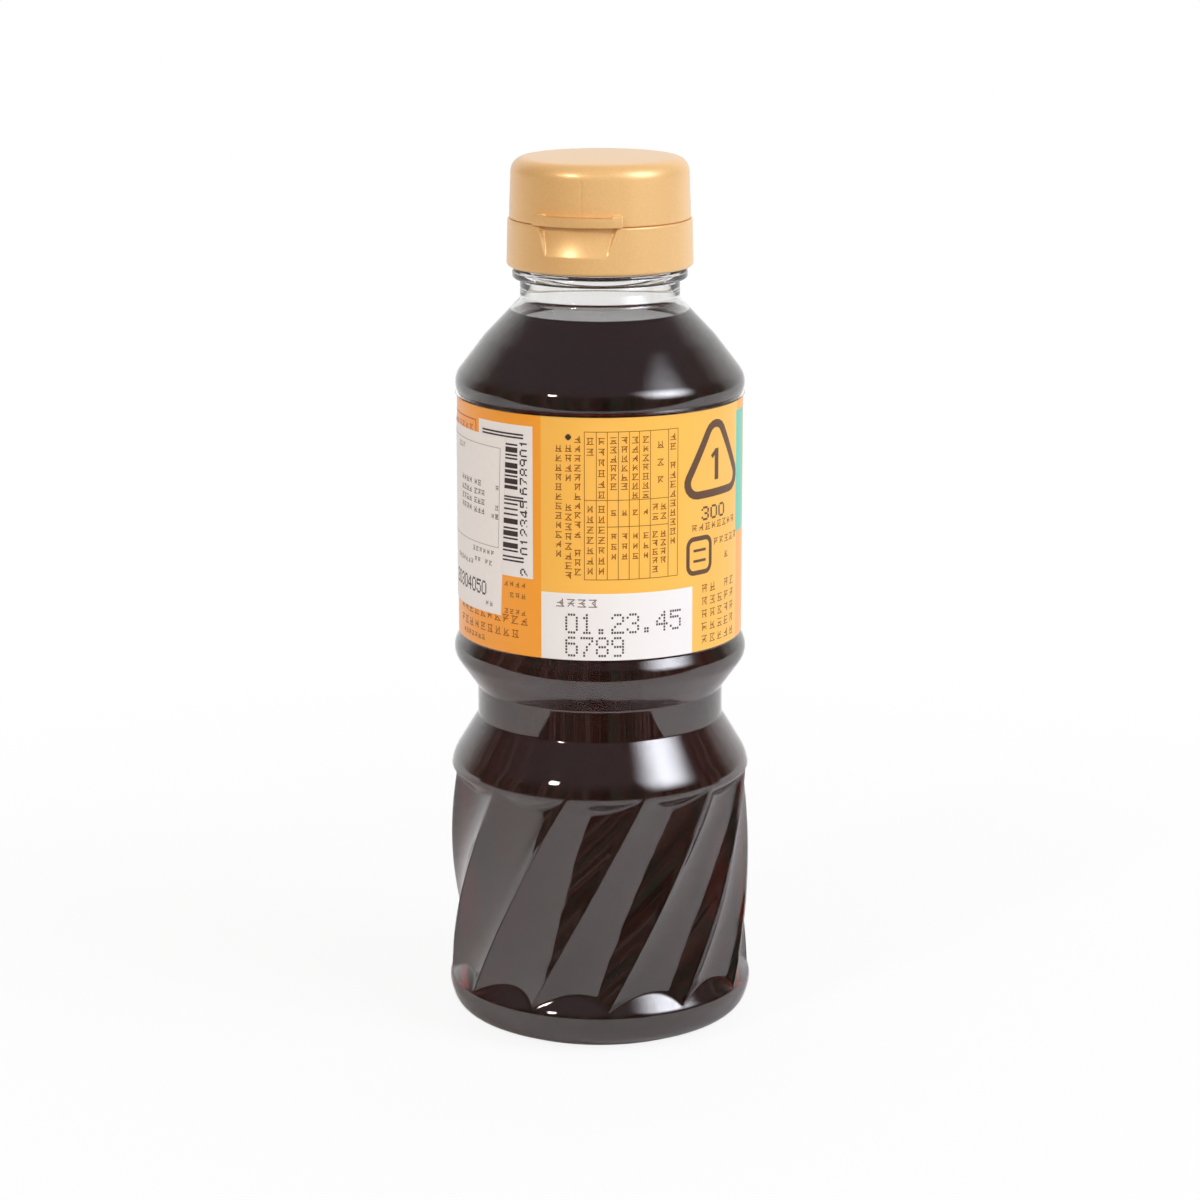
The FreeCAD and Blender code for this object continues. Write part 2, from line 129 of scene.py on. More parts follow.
# %% [markdown]
# ## Studio
#
# A dark glossy bottle shows its studio more than its own colour. This one stands on a white table
# in front of a white backdrop, in a dim room: a small bright lamp on the left, a broad soft
# window-like light on the right. The world is made white behind the bottle and dim towards the
# room, so that the rims of the bottle fade to white and its front stays dark. Light that goes straight
# through the clear bottle sees the white from every side. Light that an inner face of the bottle
# has reflected on its way has to meet the dim room, or the dark liquid looks grey.

# %% Table and colour management
bpy.context.scene.view_settings.view_transform = "Standard"

TABLE_SIZE = 4.0
NO_REFLECTION_YET = 0.5


def straight_through(tree, path):
    """A socket that is 1 for light that has passed through something clear and was reflected by
    nothing on its way."""
    straight = add_node(tree, "ShaderNodeMath", {"operation": "LESS_THAN"},
                        in_0=path.outputs["Glossy Depth"], in_1=NO_REFLECTION_YET)
    through = add_node(tree, "ShaderNodeMath", {"operation": "MULTIPLY"}, in_0=straight.outputs[0],
                       in_1=path.outputs["Is Transmission Ray"])
    return through.outputs[0]


TABLE_WHITE = linear("#F4F4F4")
SHEET_FRONT = -150 * MM
SHEET_EDGE = 4 * MM
NEAR_LIFT, FAR_LIFT = 0.90, 1.0
NEAR_REACH, FAR_REACH = 0.05, 0.30
BEHIND_FROM, BEHIND_TO = 0.0, 0.25

select_only()
bpy.ops.mesh.primitive_plane_add(size=TABLE_SIZE, location=(0, 0, 0))
table = bpy.context.object
table.name = "table"
table_paper, tree, output = new_material("white_table_paper")
spot = add_node(tree, "ShaderNodeTexCoord").outputs["Object"]
place = add_node(tree, "ShaderNodeSeparateXYZ", Vector=spot)
path = add_node(tree, "ShaderNodeLightPath")
straight = straight_through(tree, path)
behind = add_node(tree, "ShaderNodeMapRange", {"interpolation_type": "SMOOTHSTEP"},
                  Value=place.outputs["Y"], From_Min=BEHIND_FROM, From_Max=BEHIND_TO)
mirrored = add_node(tree, "ShaderNodeMath", {"operation": "MULTIPLY"},
                    in_0=path.outputs["Is Glossy Ray"], in_1=behind.outputs[0])
seen = add_node(tree, "ShaderNodeMath", {"operation": "MAXIMUM"},
                in_0=path.outputs["Is Camera Ray"], in_1=straight)
white = add_node(tree, "ShaderNodeMath", {"operation": "MAXIMUM"},
                 in_0=seen.outputs[0], in_1=mirrored.outputs[0])
away = add_node(tree, "ShaderNodeVectorMath", {"operation": "LENGTH"}, in_0=spot)
lift = add_node(tree, "ShaderNodeMapRange", {"interpolation_type": "SMOOTHSTEP"},
                Value=away.outputs["Value"], From_Min=NEAR_REACH, From_Max=FAR_REACH,
                To_Min=NEAR_LIFT, To_Max=FAR_LIFT)
lifted = add_node(tree, "ShaderNodeMath", {"operation": "MULTIPLY"},
                  in_0=white.outputs[0], in_1=lift.outputs[0])
paper = add_node(tree, "ShaderNodeBsdfDiffuse", Color=TABLE_WHITE)
glow = add_node(tree, "ShaderNodeEmission", Color=(1, 1, 1, 1), Strength=1.0)
sheet = add_node(tree, "ShaderNodeMixShader", in_0=lifted.outputs[0], in_1=paper.outputs[0],
                 in_2=glow.outputs[0])
front = add_node(tree, "ShaderNodeMapRange", Value=place.outputs["Y"],
                 From_Min=SHEET_FRONT - SHEET_EDGE, From_Max=SHEET_FRONT)
there = add_node(tree, "ShaderNodeMath", {"operation": "MAXIMUM"},
                 in_0=front.outputs[0], in_1=path.outputs["Is Camera Ray"])
clear = add_node(tree, "ShaderNodeBsdfTransparent")
both = add_node(tree, "ShaderNodeMixShader", in_0=there.outputs[0], in_1=clear.outputs[0],
                in_2=sheet.outputs[0])
tree.links.new(both.outputs[0], output.inputs["Surface"])
table.data.materials.append(table_paper)

# %% World: white behind, a dim room in front
BACKDROP_FROM, BACKDROP_TO = 0.30, 0.85
BACKDROP_GLOW = 1.0
ROOM_SHADES = ["#3A241F", "#8A645A", "#46322D", "#A08C84", "#5C403A", "#6A7466", "#402E2A", "#A07460",
               "#5E4A46"]
ROOM_STRIPES = 3.4
FIRST_STOP, STOPS_SPAN = 0.3, 0.4
CEILING_SHADE = "#8A7C80"
CEILING_FROM, CEILING_TO = 0.25, 0.75

world = bpy.data.worlds.new("studio_world")
bpy.context.scene.world = world
world.use_nodes = True
tree = world.node_tree
tree.nodes.clear()
direction = add_node(tree, "ShaderNodeTexCoord").outputs["Generated"]
parts = add_node(tree, "ShaderNodeSeparateXYZ", Vector=direction)
front = add_node(tree, "ShaderNodeMath", {"operation": "MULTIPLY"}, in_0=parts.outputs["Y"], in_1=-1.0)
around = add_node(tree, "ShaderNodeMath", {"operation": "ARCTAN2"}, in_0=parts.outputs["X"],
                  in_1=front.outputs[0])
stripes = add_node(tree, "ShaderNodeTexNoise", {"noise_dimensions": "1D"}, W=around.outputs[0],
                   Scale=ROOM_STRIPES, Detail=5.0, Roughness=0.7)
shades = add_node(tree, "ShaderNodeValToRGB", Fac=stripes.outputs["Fac"])
ramp = shades.color_ramp
for i, shade in enumerate(ROOM_SHADES):
    share = FIRST_STOP + STOPS_SPAN * i / (len(ROOM_SHADES) - 1)
    stop = ramp.elements[i] if i < 2 else ramp.elements.new(share)
    stop.position = share
    stop.color = linear(shade)
ceiling = add_node(tree, "ShaderNodeMapRange", {"interpolation_type": "SMOOTHSTEP"},
                   Value=parts.outputs["Z"], From_Min=CEILING_FROM, From_Max=CEILING_TO)
room = add_node(tree, "ShaderNodeMix", {"data_type": "RGBA"}, Factor=ceiling.outputs[0])
tree.links.new(shades.outputs[0], room.inputs[6])
room.inputs[7].default_value = linear(CEILING_SHADE)
behind = add_node(tree, "ShaderNodeMapRange", {"interpolation_type": "SMOOTHSTEP"},
                  Value=parts.outputs["Y"], From_Min=BACKDROP_FROM, From_Max=BACKDROP_TO)
studio = add_node(tree, "ShaderNodeMix", {"data_type": "RGBA"}, Factor=behind.outputs[0])
tree.links.new(room.outputs[2], studio.inputs[6])
studio.inputs[7].default_value = (BACKDROP_GLOW, BACKDROP_GLOW, BACKDROP_GLOW, 1)
path = add_node(tree, "ShaderNodeLightPath")
shown = add_node(tree, "ShaderNodeMath", {"operation": "MAXIMUM"},
                 in_0=path.outputs["Is Camera Ray"], in_1=straight_through(tree, path))
seen = add_node(tree, "ShaderNodeMix", {"data_type": "RGBA"}, Factor=shown.outputs[0])
tree.links.new(studio.outputs[2], seen.inputs[6])
seen.inputs[7].default_value = (1, 1, 1, 1)
sky = add_node(tree, "ShaderNodeBackground", Color=seen.outputs[2], Strength=1.0)
add_node(tree, "ShaderNodeOutputWorld", Surface=sky.outputs[0])

# %% Lamps
def area_lamp(name, azimuth, elevation, distance, width, height, power, colour, soft=0.0,
              mirrored=True):
    """A rectangular lamp that faces the bottle. The azimuth runs from the front to the right, and
    soft is the share of the lamp over which it fades towards its edges. A lamp that isn't mirrored
    lights the bottle but doesn't show in its gloss, like light bounced off a wall."""
    data = bpy.data.lights.new(name, "AREA")
    data.shape = "RECTANGLE"
    data.size = width
    data.size_y = height
    data.energy = power
    data.color = linear(colour)[:3]
    if soft:
        data.use_nodes = True
        tree = data.node_tree
        emission = next(node for node in tree.nodes if node.type == "EMISSION")
        across = add_node(tree, "ShaderNodeNewGeometry").outputs["Parametric"]
        middle = add_node(tree, "ShaderNodeVectorMath", {"operation": "SUBTRACT"}, in_0=across,
                          in_1=(0.5, 0.5, 0))
        edge = add_node(tree, "ShaderNodeVectorMath", {"operation": "ABSOLUTE"}, in_0=middle.outputs[0])
        sides = add_node(tree, "ShaderNodeSeparateXYZ", Vector=edge.outputs[0])
        fades = [add_node(tree, "ShaderNodeMapRange", {"interpolation_type": "SMOOTHSTEP"},
                          Value=sides.outputs[axis], From_Min=0.5 - soft / 2, From_Max=0.5,
                          To_Min=1.0, To_Max=0.0) for axis in ("X", "Y")]
        both = add_node(tree, "ShaderNodeMath", {"operation": "MULTIPLY"},
                        in_0=fades[0].outputs[0], in_1=fades[1].outputs[0])
        tree.links.new(both.outputs[0], emission.inputs["Strength"])
    lamp = bpy.data.objects.new(name, data)
    bpy.context.collection.objects.link(lamp)
    around, up = math.radians(azimuth), math.radians(elevation)
    way = Vector((math.sin(around) * math.cos(up), -math.cos(around) * math.cos(up), math.sin(up)))
    lamp.location = LAMP_AIM + way * distance
    lamp.rotation_euler = way.to_track_quat("Z", "Y").to_euler()
    lamp.visible_glossy = lamp.visible_transmission = mirrored
    return lamp


LAMP_AIM = Vector((0, 0, 85 * MM))
area_lamp("key_lamp", -40, 32, 1.1, 0.14, 0.14, 8, "#FFF6EA", soft=0.6)
area_lamp("window_lamp", 60, 32, 1.1, 1.05, 1.1, 36, "#F0F4FF", soft=1.0)
area_lamp("top_fill", 0, 80, 1.2, 1.6, 1.6, 3, "#FFFFFF", soft=0.9, mirrored=False)
area_lamp("front_fill", 5, 15, 1.4, 1.2, 1.2, 9.5, "#FFFDF8", soft=0.6, mirrored=False)

# %% [markdown]
# ## How a turned piece is made
#
# A bottle, its contents and its cap are all turned shapes: a half outline swept round an axis.
# The outline is given by its corners, each with the radius it is rounded to, just as a mould
# drawing gives it. In Blender it is drawn as a chain of vertices, one extrusion after another,
# and the Spin operator sweeps it. Spin may leave the surface inside out, so the doubles are
# merged and the normals recalculated.

# %% Outline from rounded corners
ARC_STEP = math.radians(9)


def rounded(corners):
    """Points of an outline whose corners are (radius, height, rounding) in millimetres. The first
    and the last corner stay as they are."""
    points = [Vector(corners[0][:2])]
    for before, corner, after in zip(corners, corners[1:], corners[2:]):
        here = Vector(corner[:2])
        back = (Vector(before[:2]) - here).normalized()
        ahead = (Vector(after[:2]) - here).normalized()
        opening = back.angle(ahead)
        if not corner[2]:
            points.append(here)
            continue
        reach = corner[2] / math.tan(opening / 2)
        centre = here + (back + ahead).normalized() * (corner[2] / math.sin(opening / 2))
        start = (here + back * reach - centre).normalized()
        end = (here + ahead * reach - centre).normalized()
        steps = max(2, math.ceil((math.pi - opening) / ARC_STEP))
        for i in range(steps + 1):
            points.append(centre + start.slerp(end, i / steps) * corner[2])
    points.append(Vector(corners[-1][:2]))
    return points


def turned(name, points, steps, closed=False):
    """Draws the outline as a chain of vertices and spins it once round the Z axis."""
    select_only()
    bpy.ops.mesh.primitive_plane_add(size=MM, location=(points[0].x * MM, 0, points[0].y * MM))
    piece = bpy.context.object
    piece.name = name
    bpy.ops.object.mode_set(mode="EDIT")
    bpy.ops.mesh.select_all(action="SELECT")
    bpy.ops.mesh.merge(type="CENTER")
    for before, after in zip(points, points[1:]):
        step = (after - before) * MM
        bpy.ops.mesh.extrude_vertices_move(TRANSFORM_OT_translate={"value": (step.x, 0, step.y)})
    bpy.ops.mesh.select_all(action="SELECT")
    if closed:
        bpy.ops.mesh.remove_doubles(threshold=0.001 * MM)
    bpy.ops.mesh.spin(steps=steps, angle=2 * math.pi, center=(0, 0, 0), axis=(0, 0, 1))
    bpy.ops.mesh.select_all(action="SELECT")
    bpy.ops.mesh.remove_doubles(threshold=0.002 * MM)
    bpy.ops.mesh.normals_make_consistent(inside=False)
    bpy.ops.object.mode_set(mode="OBJECT")
    bpy.ops.object.transform_apply(location=True, rotation=True, scale=True)
    return piece


def reshape(piece, move):
    """Moves every vertex by a rule that is given its azimuth, radius and height and gives back
    the new ones, in degrees and millimetres. Azimuth 0 is the front, and 90 the right side."""
    for vertex in piece.data.vertices:
        x, y, z = vertex.co / MM
        azimuth, radius, height = move(math.degrees(math.atan2(x, -y)), math.hypot(x, y), z)
        turn = math.radians(azimuth)
        vertex.co = Vector((radius * math.sin(turn), -radius * math.cos(turn), height)) * MM
    piece.data.update()


def finish_piece(piece, material, node, body, sharp=40):
    """Gives a piece its shading, material and body, and hides the solid it stands for."""
    select_only(piece)
    bpy.ops.object.shade_smooth_by_angle(angle=math.radians(sharp))
    piece.data.materials.clear()
    piece.data.materials.append(material)
    if node:
        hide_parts(node)
    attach(piece, body)
    triangles = sum(len(face.vertices) - 2 for face in piece.data.polygons)
    print(f"{piece.name}: {triangles} triangles")


# %% [markdown]
# ## The bottle's form
#
# The wall is one outline from the push-up under the base to the neck. Above it come the support
# ring and the plain finish that the cap sits on. The inside runs parallel to the outside, 0.45 mm
# in, and is thick only at the neck, where the blown wall becomes the moulded neck.

# %% Outlines of the wall
WALL = 0.45
WALL_CORNERS = [
    (0, 3.5, 0), (20.6, 0, 2.0), (23.0, 0, 4.2), (28.3, 2.3, 4.5), (29.5, 6.3, 4.3),
    (28.85, 51.9, 8.7), (23.65, 60.5, 0.8), (23.65, 66.4, 0.8), (28.7, 73.5, 4.05),
    (27.1, 77.0, 0.55), (27.1, 123.6, 0.55), (28.4, 125.8, 4.2), (21.9, 134.3, 9.5),
    (15.15, 141.4, 0.9), (15.15, 145.3, 0),
]
RING_AND_FINISH = [
    (15.15, 145.3, 0), (16.6, 145.3, 0.5), (16.6, 147.0, 0.5), (14.5, 147.0, 0.3),
    (14.5, 154.6, 0.3), (12.7, 154.6, 0.3), (12.7, 145.6, 0),
]
NECK_TOP = 142.4

FLUTE_COUNT = 12
FLUTE_LEAD = 340.6
FLUTE_TURN = 107.65
CHANNEL_RADIUS = 25.8
VALLEY_RADIUS = 27.03
RIM_RADIUS = 29.15
FLUTE_BOTTOM = 8.4
FLUTE_TOP = 50.7
END_SLOPE = 4.25 / 3.0
RIDGE_ROUNDING = 0.35
COLUMNS_PER_FLUTE = 20
ROUND_STEPS = FLUTE_COUNT * COLUMNS_PER_FLUTE
ROW_MARGIN, END_ZONE = 1, 3.6
LONG_ROW, SHORT_ROW = 0.9, 0.3


def with_rows(points, low, high, spacing, beyond=0):
    """Adds points to the outline's runs between two heights and beyond a radius, no further apart
    than the spacing."""
    result = [points[0]]
    for before, after in zip(points, points[1:]):
        inside = min(before.y, after.y) < high and max(before.y, after.y) > low
        inside = inside and min(before.x, after.x) > beyond
        extra = math.ceil((after - before).length / spacing) if inside else 1
        result += [before.lerp(after, i / extra) for i in range(1, extra + 1)]
    return result


def inset(points, depth):
    """The outline moved inward, to its left, by the depth."""
    moved = []
    for i, point in enumerate(points):
        ahead = points[min(i + 1, len(points) - 1)] - points[max(i - 1, 0)]
        side = Vector((-ahead.y, ahead.x)).normalized()
        moved.append(point + side * depth)
    moved[0].x = 0
    return moved


def up_to(points, height):
    """The part of a rising outline that lies below a height, cut exactly there."""
    kept = [p for p in points if p.y < height]
    after = points[len(kept)]
    share = (height - kept[-1].y) / (after.y - kept[-1].y)
    return kept + [kept[-1].lerp(after, share)]


def wall_rows(points):
    """The wall's outline with rows enough to carry the flutes and their sloped ends."""
    low, high = FLUTE_BOTTOM - ROW_MARGIN, FLUTE_TOP + ROW_MARGIN
    points = with_rows(points, low, high, LONG_ROW)
    points = with_rows(points, low, FLUTE_BOTTOM + END_ZONE, SHORT_ROW)
    return with_rows(points, FLUTE_TOP - END_ZONE, high, SHORT_ROW)


outer_wall = wall_rows(rounded(WALL_CORNERS))
inner_wall = up_to(inset(outer_wall, WALL), NECK_TOP)
neck = rounded(RING_AND_FINISH)
print("outline points:", len(outer_wall), len(inner_wall), len(neck))

# %% [markdown]
# ## The flutes
#
# Twelve hollow channels wind round the lower body, and end in slopes at the top and the bottom.
# The turned wall gets them by moving its vertices: each ring is turned by the twist at its
# height, so that the mesh's columns run along the channels, and each vertex is then drawn in to
# the channel's round floor. Where two surfaces meet, a smooth minimum rounds the ridge, as
# blowing into a mould does.

# %% Flute shape
def smooth_min(a, b, rounding):
    """The lesser of two radii, with the crease between them rounded."""
    blend = max(rounding - abs(a - b), 0) / rounding
    return min(a, b) - blend * blend * rounding / 4


def smooth_max(a, b, rounding):
    return -smooth_min(-a, -b, rounding)


def crowd(share):
    """Spreads columns over a flute, from -1 to 1, closer together near its ridges."""
    return 0.4 * share + 0.6 * (1.5 * share - 0.5 * share**3)


def fluted(radius, azimuth, height, deeper):
    """Where a point of the wall comes to lie. The azimuth is measured from the front before the
    twist, and deeper is how far inside the outer wall this surface lies."""
    pitch = 360 / FLUTE_COUNT
    climb = min(max(height, FLUTE_BOTTOM), FLUTE_TOP) - FLUTE_BOTTOM
    lane = math.floor(azimuth / pitch + 0.5)
    share = (azimuth / pitch - lane) * 2
    across = crowd(share) * pitch / 2
    away = VALLEY_RADIUS + CHANNEL_RADIUS
    swing = math.radians(across)
    aside = away * math.sin(swing)
    channel = away * math.cos(swing) - math.sqrt((CHANNEL_RADIUS + deeper) ** 2 - aside ** 2)
    rise = deeper * math.hypot(1, END_SLOPE)
    top_end = RIM_RADIUS - (FLUTE_TOP + rise - height) / END_SLOPE
    bottom_end = RIM_RADIUS - (height - FLUTE_BOTTOM + rise) / END_SLOPE
    floor = smooth_max(channel, max(top_end, bottom_end), RIDGE_ROUNDING)
    place = lane * pitch + across + FLUTE_TURN + climb * 360 / FLUTE_LEAD
    return place, smooth_min(radius, floor, RIDGE_ROUNDING)


def outer_radius(height):
    """The plain wall's outer radius at a height within the fluted zone."""
    low, high = Vector(WALL_CORNERS[4][:2]), Vector(WALL_CORNERS[5][:2])
    return low.lerp(high, (height - low.y) / (high.y - low.y)).x


FLUTE_MARGIN = 1.5


def flute_wall(azimuth, radius, height):
    zone = FLUTE_BOTTOM - FLUTE_MARGIN < height < FLUTE_TOP + FLUTE_MARGIN
    inner = radius < outer_radius(height) - WALL / 2
    if not zone:
        place, _ = fluted(RIM_RADIUS, azimuth, height, 0)
        return place, radius, height
    place, radius = fluted(radius, azimuth, height, WALL if inner else 0)
    return place, radius, height


# %% Bottle material
# PET, blown: as clear as glass, thin, glossy, and faintly grey.
PET_IOR = 1.575
WAVES_PER_METRE = 55.0
WAVE_DEPTH = 0.12 * MM


def waviness(tree):
    """The slow unevenness of a blown wall, which makes reflections in it wander."""
    spot = add_node(tree, "ShaderNodeTexCoord").outputs["Object"]
    waves = add_node(tree, "ShaderNodeTexNoise", Vector=spot, Scale=WAVES_PER_METRE, Detail=2.0)
    bump = add_node(tree, "ShaderNodeBump", Height=waves.outputs["Fac"], Distance=WAVE_DEPTH)
    return bump.outputs[0]


blown_pet, tree, output = new_material("blown_clear_pet")
shell = add_node(tree, "ShaderNodeBsdfPrincipled", Base_Color=linear("#FBFBFA"), Roughness=0.02,
                 IOR=PET_IOR, Transmission_Weight=1.0, Normal=waviness(tree))
tree.links.new(shell.outputs[0], output.inputs["Surface"])

# %% Bottle piece
bottle_outline = outer_wall + neck[1:] + list(reversed(inner_wall))
bottle = turned("bottle_shell", bottle_outline, ROUND_STEPS)
reshape(bottle, flute_wall)
finish_piece(bottle, blown_pet, "bottle", "bottle")

# %% [markdown]
# ## The soup base
#
# The liquid is nearly black in bulk and red-brown where it is thin, so it is a clear body that
# absorbs light over its depth, not a painted surface. It reaches just into the bottle's wall, so
# that no gap of air shows, and its surface climbs the wall in a small meniscus.

# %% Soup base
REACH = 0.08
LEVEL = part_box("soup_base")[1].z / MM
MENISCUS = 1.3
MENISCUS_WIDTH = 2.2
MENISCUS_STEPS = 7

soup_wall = up_to(inset(outer_wall, WALL - REACH), LEVEL + MENISCUS * 0.4)
rim = soup_wall[-1]
surface = []
for i in range(1, MENISCUS_STEPS + 1):
    out = i / MENISCUS_STEPS
    surface.append(Vector((rim.x - MENISCUS_WIDTH * out, rim.y - MENISCUS * (1 - (1 - out) ** 2.2))))
soup_outline = soup_wall + surface + [Vector((0, surface[-1].y))]


def flute_soup(azimuth, radius, height):
    if not FLUTE_BOTTOM - FLUTE_MARGIN < height < FLUTE_TOP + FLUTE_MARGIN:
        place, _ = fluted(RIM_RADIUS, azimuth, height, 0)
        return place, radius, height
    place, radius = fluted(radius, azimuth, height, WALL - REACH)
    return place, radius, height


soup = turned("soup_base_fill", soup_outline, ROUND_STEPS)
reshape(soup, flute_soup)

# A dark soy-based liquid: water-like gloss, amber where it is a millimetre deep, red-brown at
# ten and black beyond. Fine solids in it send a trace of red-brown light back.
SOUP_IOR = 1.37
HAZE = 0.05
dark_soup, tree, output = new_material("dark_soup_base_liquid")
liquid = add_node(tree, "ShaderNodeBsdfPrincipled", Base_Color=(1, 1, 1, 1), Roughness=0.0,
                  IOR=SOUP_IOR, Transmission_Weight=1.0, Normal=waviness(tree))
solids = add_node(tree, "ShaderNodeBsdfDiffuse", Color=linear("#7A2A1C"))
hazy = add_node(tree, "ShaderNodeMixShader", in_0=HAZE, in_1=liquid.outputs[0], in_2=solids.outputs[0])
depth = add_node(tree, "ShaderNodeVolumeAbsorption", Color=linear("#EFAA00"), Density=700.0)
tree.links.new(hazy.outputs[0], output.inputs["Surface"])
tree.links.new(depth.outputs[0], output.inputs["Volume"])
finish_piece(soup, dark_soup, "soup_base", "bottle")

# %% [markdown]
# ## The label
#
# A printed film is wrapped round the panel and its end overlaps its start, which leaves a fine
# upright step. The print is orange fields, white panels and a green strip. Fields as large as
# these belong in the material: it finds its place on the film from the object coordinates, as an
# arc length from the front and a height, in millimetres.

# %% Label film
label_low, label_high = (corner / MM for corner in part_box("label"))
LABEL_THICKNESS = 0.12
LABEL_RADIUS = 27.25
SEAM = -11.2
SEAM_STEP = 0.06
SEAM_RAMP = 4.0


def overlap(azimuth, radius, height):
    """Lifts the film over its own start, up to the step at the seam."""
    arc = math.radians(azimuth) * LABEL_RADIUS
    share = (arc - SEAM + SEAM_RAMP) / SEAM_RAMP
    return azimuth, radius + (SEAM_STEP * share if 0 < share <= 1 else 0), height


label_outline = rounded([
    (LABEL_RADIUS - LABEL_THICKNESS, 100, 0),
    (LABEL_RADIUS - LABEL_THICKNESS, label_low.z, 0.03), (LABEL_RADIUS, label_low.z, 0.03),
    (LABEL_RADIUS, label_high.z, 0.03), (LABEL_RADIUS - LABEL_THICKNESS, label_high.z, 0.03),
    (LABEL_RADIUS - LABEL_THICKNESS, 100, 0),
])
label = turned("label_wrap", label_outline, 360, closed=True)
reshape(label, overlap)


def film_place(tree):
    """The sockets that hold a point's arc length from the front and its height, in mm."""
    spot = add_node(tree, "ShaderNodeTexCoord").outputs["Object"]
    parts = add_node(tree, "ShaderNodeSeparateXYZ", Vector=spot)
    front = add_node(tree, "ShaderNodeMath", {"operation": "MULTIPLY"}, in_0=parts.outputs["Y"], in_1=-1.0)
    turn = add_node(tree, "ShaderNodeMath", {"operation": "ARCTAN2"}, in_0=parts.outputs["X"],
                    in_1=front.outputs[0])
    arc = add_node(tree, "ShaderNodeMath", {"operation": "MULTIPLY"}, in_0=turn.outputs[0],
                   in_1=LABEL_RADIUS)
    height = add_node(tree, "ShaderNodeMath", {"operation": "DIVIDE"}, in_0=parts.outputs["Z"], in_1=MM)
    return arc.outputs[0], height.outputs[0]


def printed_fields(tree, ground, fields):
    """Lays flat fields of colour over the ground, each (colour, left, right, bottom, top) in mm."""
    arc, height = film_place(tree)
    colour = ground
    for paint, left, right, bottom, top in fields:
        wide = add_node(tree, "ShaderNodeMath", {"operation": "COMPARE"}, in_0=arc,
                        in_1=(left + right) / 2, in_2=(right - left) / 2)
        tall = add_node(tree, "ShaderNodeMath", {"operation": "COMPARE"}, in_0=height,
                        in_1=(bottom + top) / 2, in_2=(top - bottom) / 2)
        inside = add_node(tree, "ShaderNodeMath", {"operation": "MULTIPLY"}, in_0=wide.outputs[0],
                          in_1=tall.outputs[0])
        mixed = add_node(tree, "ShaderNodeMix", {"data_type": "RGBA"}, Factor=inside.outputs[0])
        if isinstance(colour, bpy.types.NodeSocket):
            tree.links.new(colour, mixed.inputs[6])
        else:
            mixed.inputs[6].default_value = colour
        mixed.inputs[7].default_value = linear(paint)
        colour = mixed.outputs[2]
    return colour


# Printed polypropylene film: an even, satin surface whose ink keeps a slight sheen.
ORANGE, LIGHT_ORANGE, PAPER_WHITE, GREEN = "#FFAA3A", "#FFC45A", "#F4F3F1", "#5FC9AE"
CREAM, DARK_BROWN, CARAMEL = "#FFF3DC", "#5A2E1C", "#E07A1E"
LOW, HIGH = label_low.z - 1, label_high.z + 1
FIELDS = [
    (LIGHT_ORANGE, SEAM, 33.8, LOW, HIGH),
    (PAPER_WHITE, -26.6, -12.9, 92.2, 121.0),
    (PAPER_WHITE, SEAM, 18.7, LOW, 90.1),
    (GREEN, 33.3, 39.5, 98.0, 121.3),
    (CREAM, 43.0, 85.6, 82.5, 118.5),
    (CREAM, -85.6, -76.0, 82.5, 118.5),
    (DARK_BROWN, 47.0, 56.5, 84.5, 116.5),
    (CARAMEL, 60.5, 85.6, 84.5, 92.0),
    (CARAMEL, -85.6, -80.0, 84.5, 92.0),
]
label_film, tree, output = new_material("printed_polypropylene_film")
print_colour = printed_fields(tree, linear(ORANGE), FIELDS)
film = add_node(tree, "ShaderNodeBsdfPrincipled", Base_Color=print_colour, Roughness=0.32,
                IOR=1.49)
tree.links.new(film.outputs[0], output.inputs["Surface"])
finish_piece(label, label_film, "label", "bottle")

# %% [markdown]
# ## Small print
#
# Rows of small print, a table, a bar code and two plain marks are printed on the film. They are
# laid out flat first, as at the printer's, in millimetres from the front and from the base, and
# then wrapped round the label. Text objects would be the quick way to print, but these marks
# spell nothing: each is a few strokes. There are thousands of strokes, and one operator for each
# would take minutes, so their corners are collected and made into one mesh at once. Solidify then
# gives the ink its thickness, so that every line stays sharp however close one looks.

# %% Laying out ink
INK = 0.012
INK_STEP = 0.8
random.seed(7)
ink_faces = []


def lay_ink(corners):
    """Adds a four-sided patch of ink, halved across its longer sides until it is narrow enough to
    bend round the film. A wider patch would sink into the film in its middle."""
    a, b, c, d = [Vector(corner) for corner in corners]
    sideways = [corner.x for corner in (a, b, c, d)]
    if max(sideways) - min(sideways) <= INK_STEP:
        ink_faces.append([tuple(corner) for corner in (a, b, c, d)])
    elif (b - a).length >= (d - a).length:
        lay_ink([a, (a + b) / 2, (c + d) / 2, d])
        lay_ink([(a + b) / 2, b, c, (c + d) / 2])
    else:
        lay_ink([a, b, (b + c) / 2, (a + d) / 2])
        lay_ink([(a + d) / 2, (b + c) / 2, c, d])


def bar(left, bottom, width, height):
    """A flat bar of ink."""
    right, top = left + width, bottom + height
    lay_ink([(left, bottom), (right, bottom), (right, top), (left, top)])


def stroke(x, z, length, angle, line):
    """A short bar of ink about its own middle, at any angle in degrees."""
    along = Vector((math.cos(math.radians(angle)), math.sin(math.radians(angle)))) * length / 2
    aside = Vector((-along.y, along.x)).normalized() * line / 2
    middle = Vector((x, z))
    lay_ink([middle - along - aside, middle + along - aside, middle + along + aside,
             middle - along + aside])


def frame_lines(left, right, bottom, top, line):
    """A box drawn with four bars."""
    bar(left, bottom, right - left, line)
    bar(left, top - line, right - left, line)
    bar(left, bottom + line, line, top - bottom - 2 * line)
    bar(right - line, bottom + line, line, top - bottom - 2 * line)


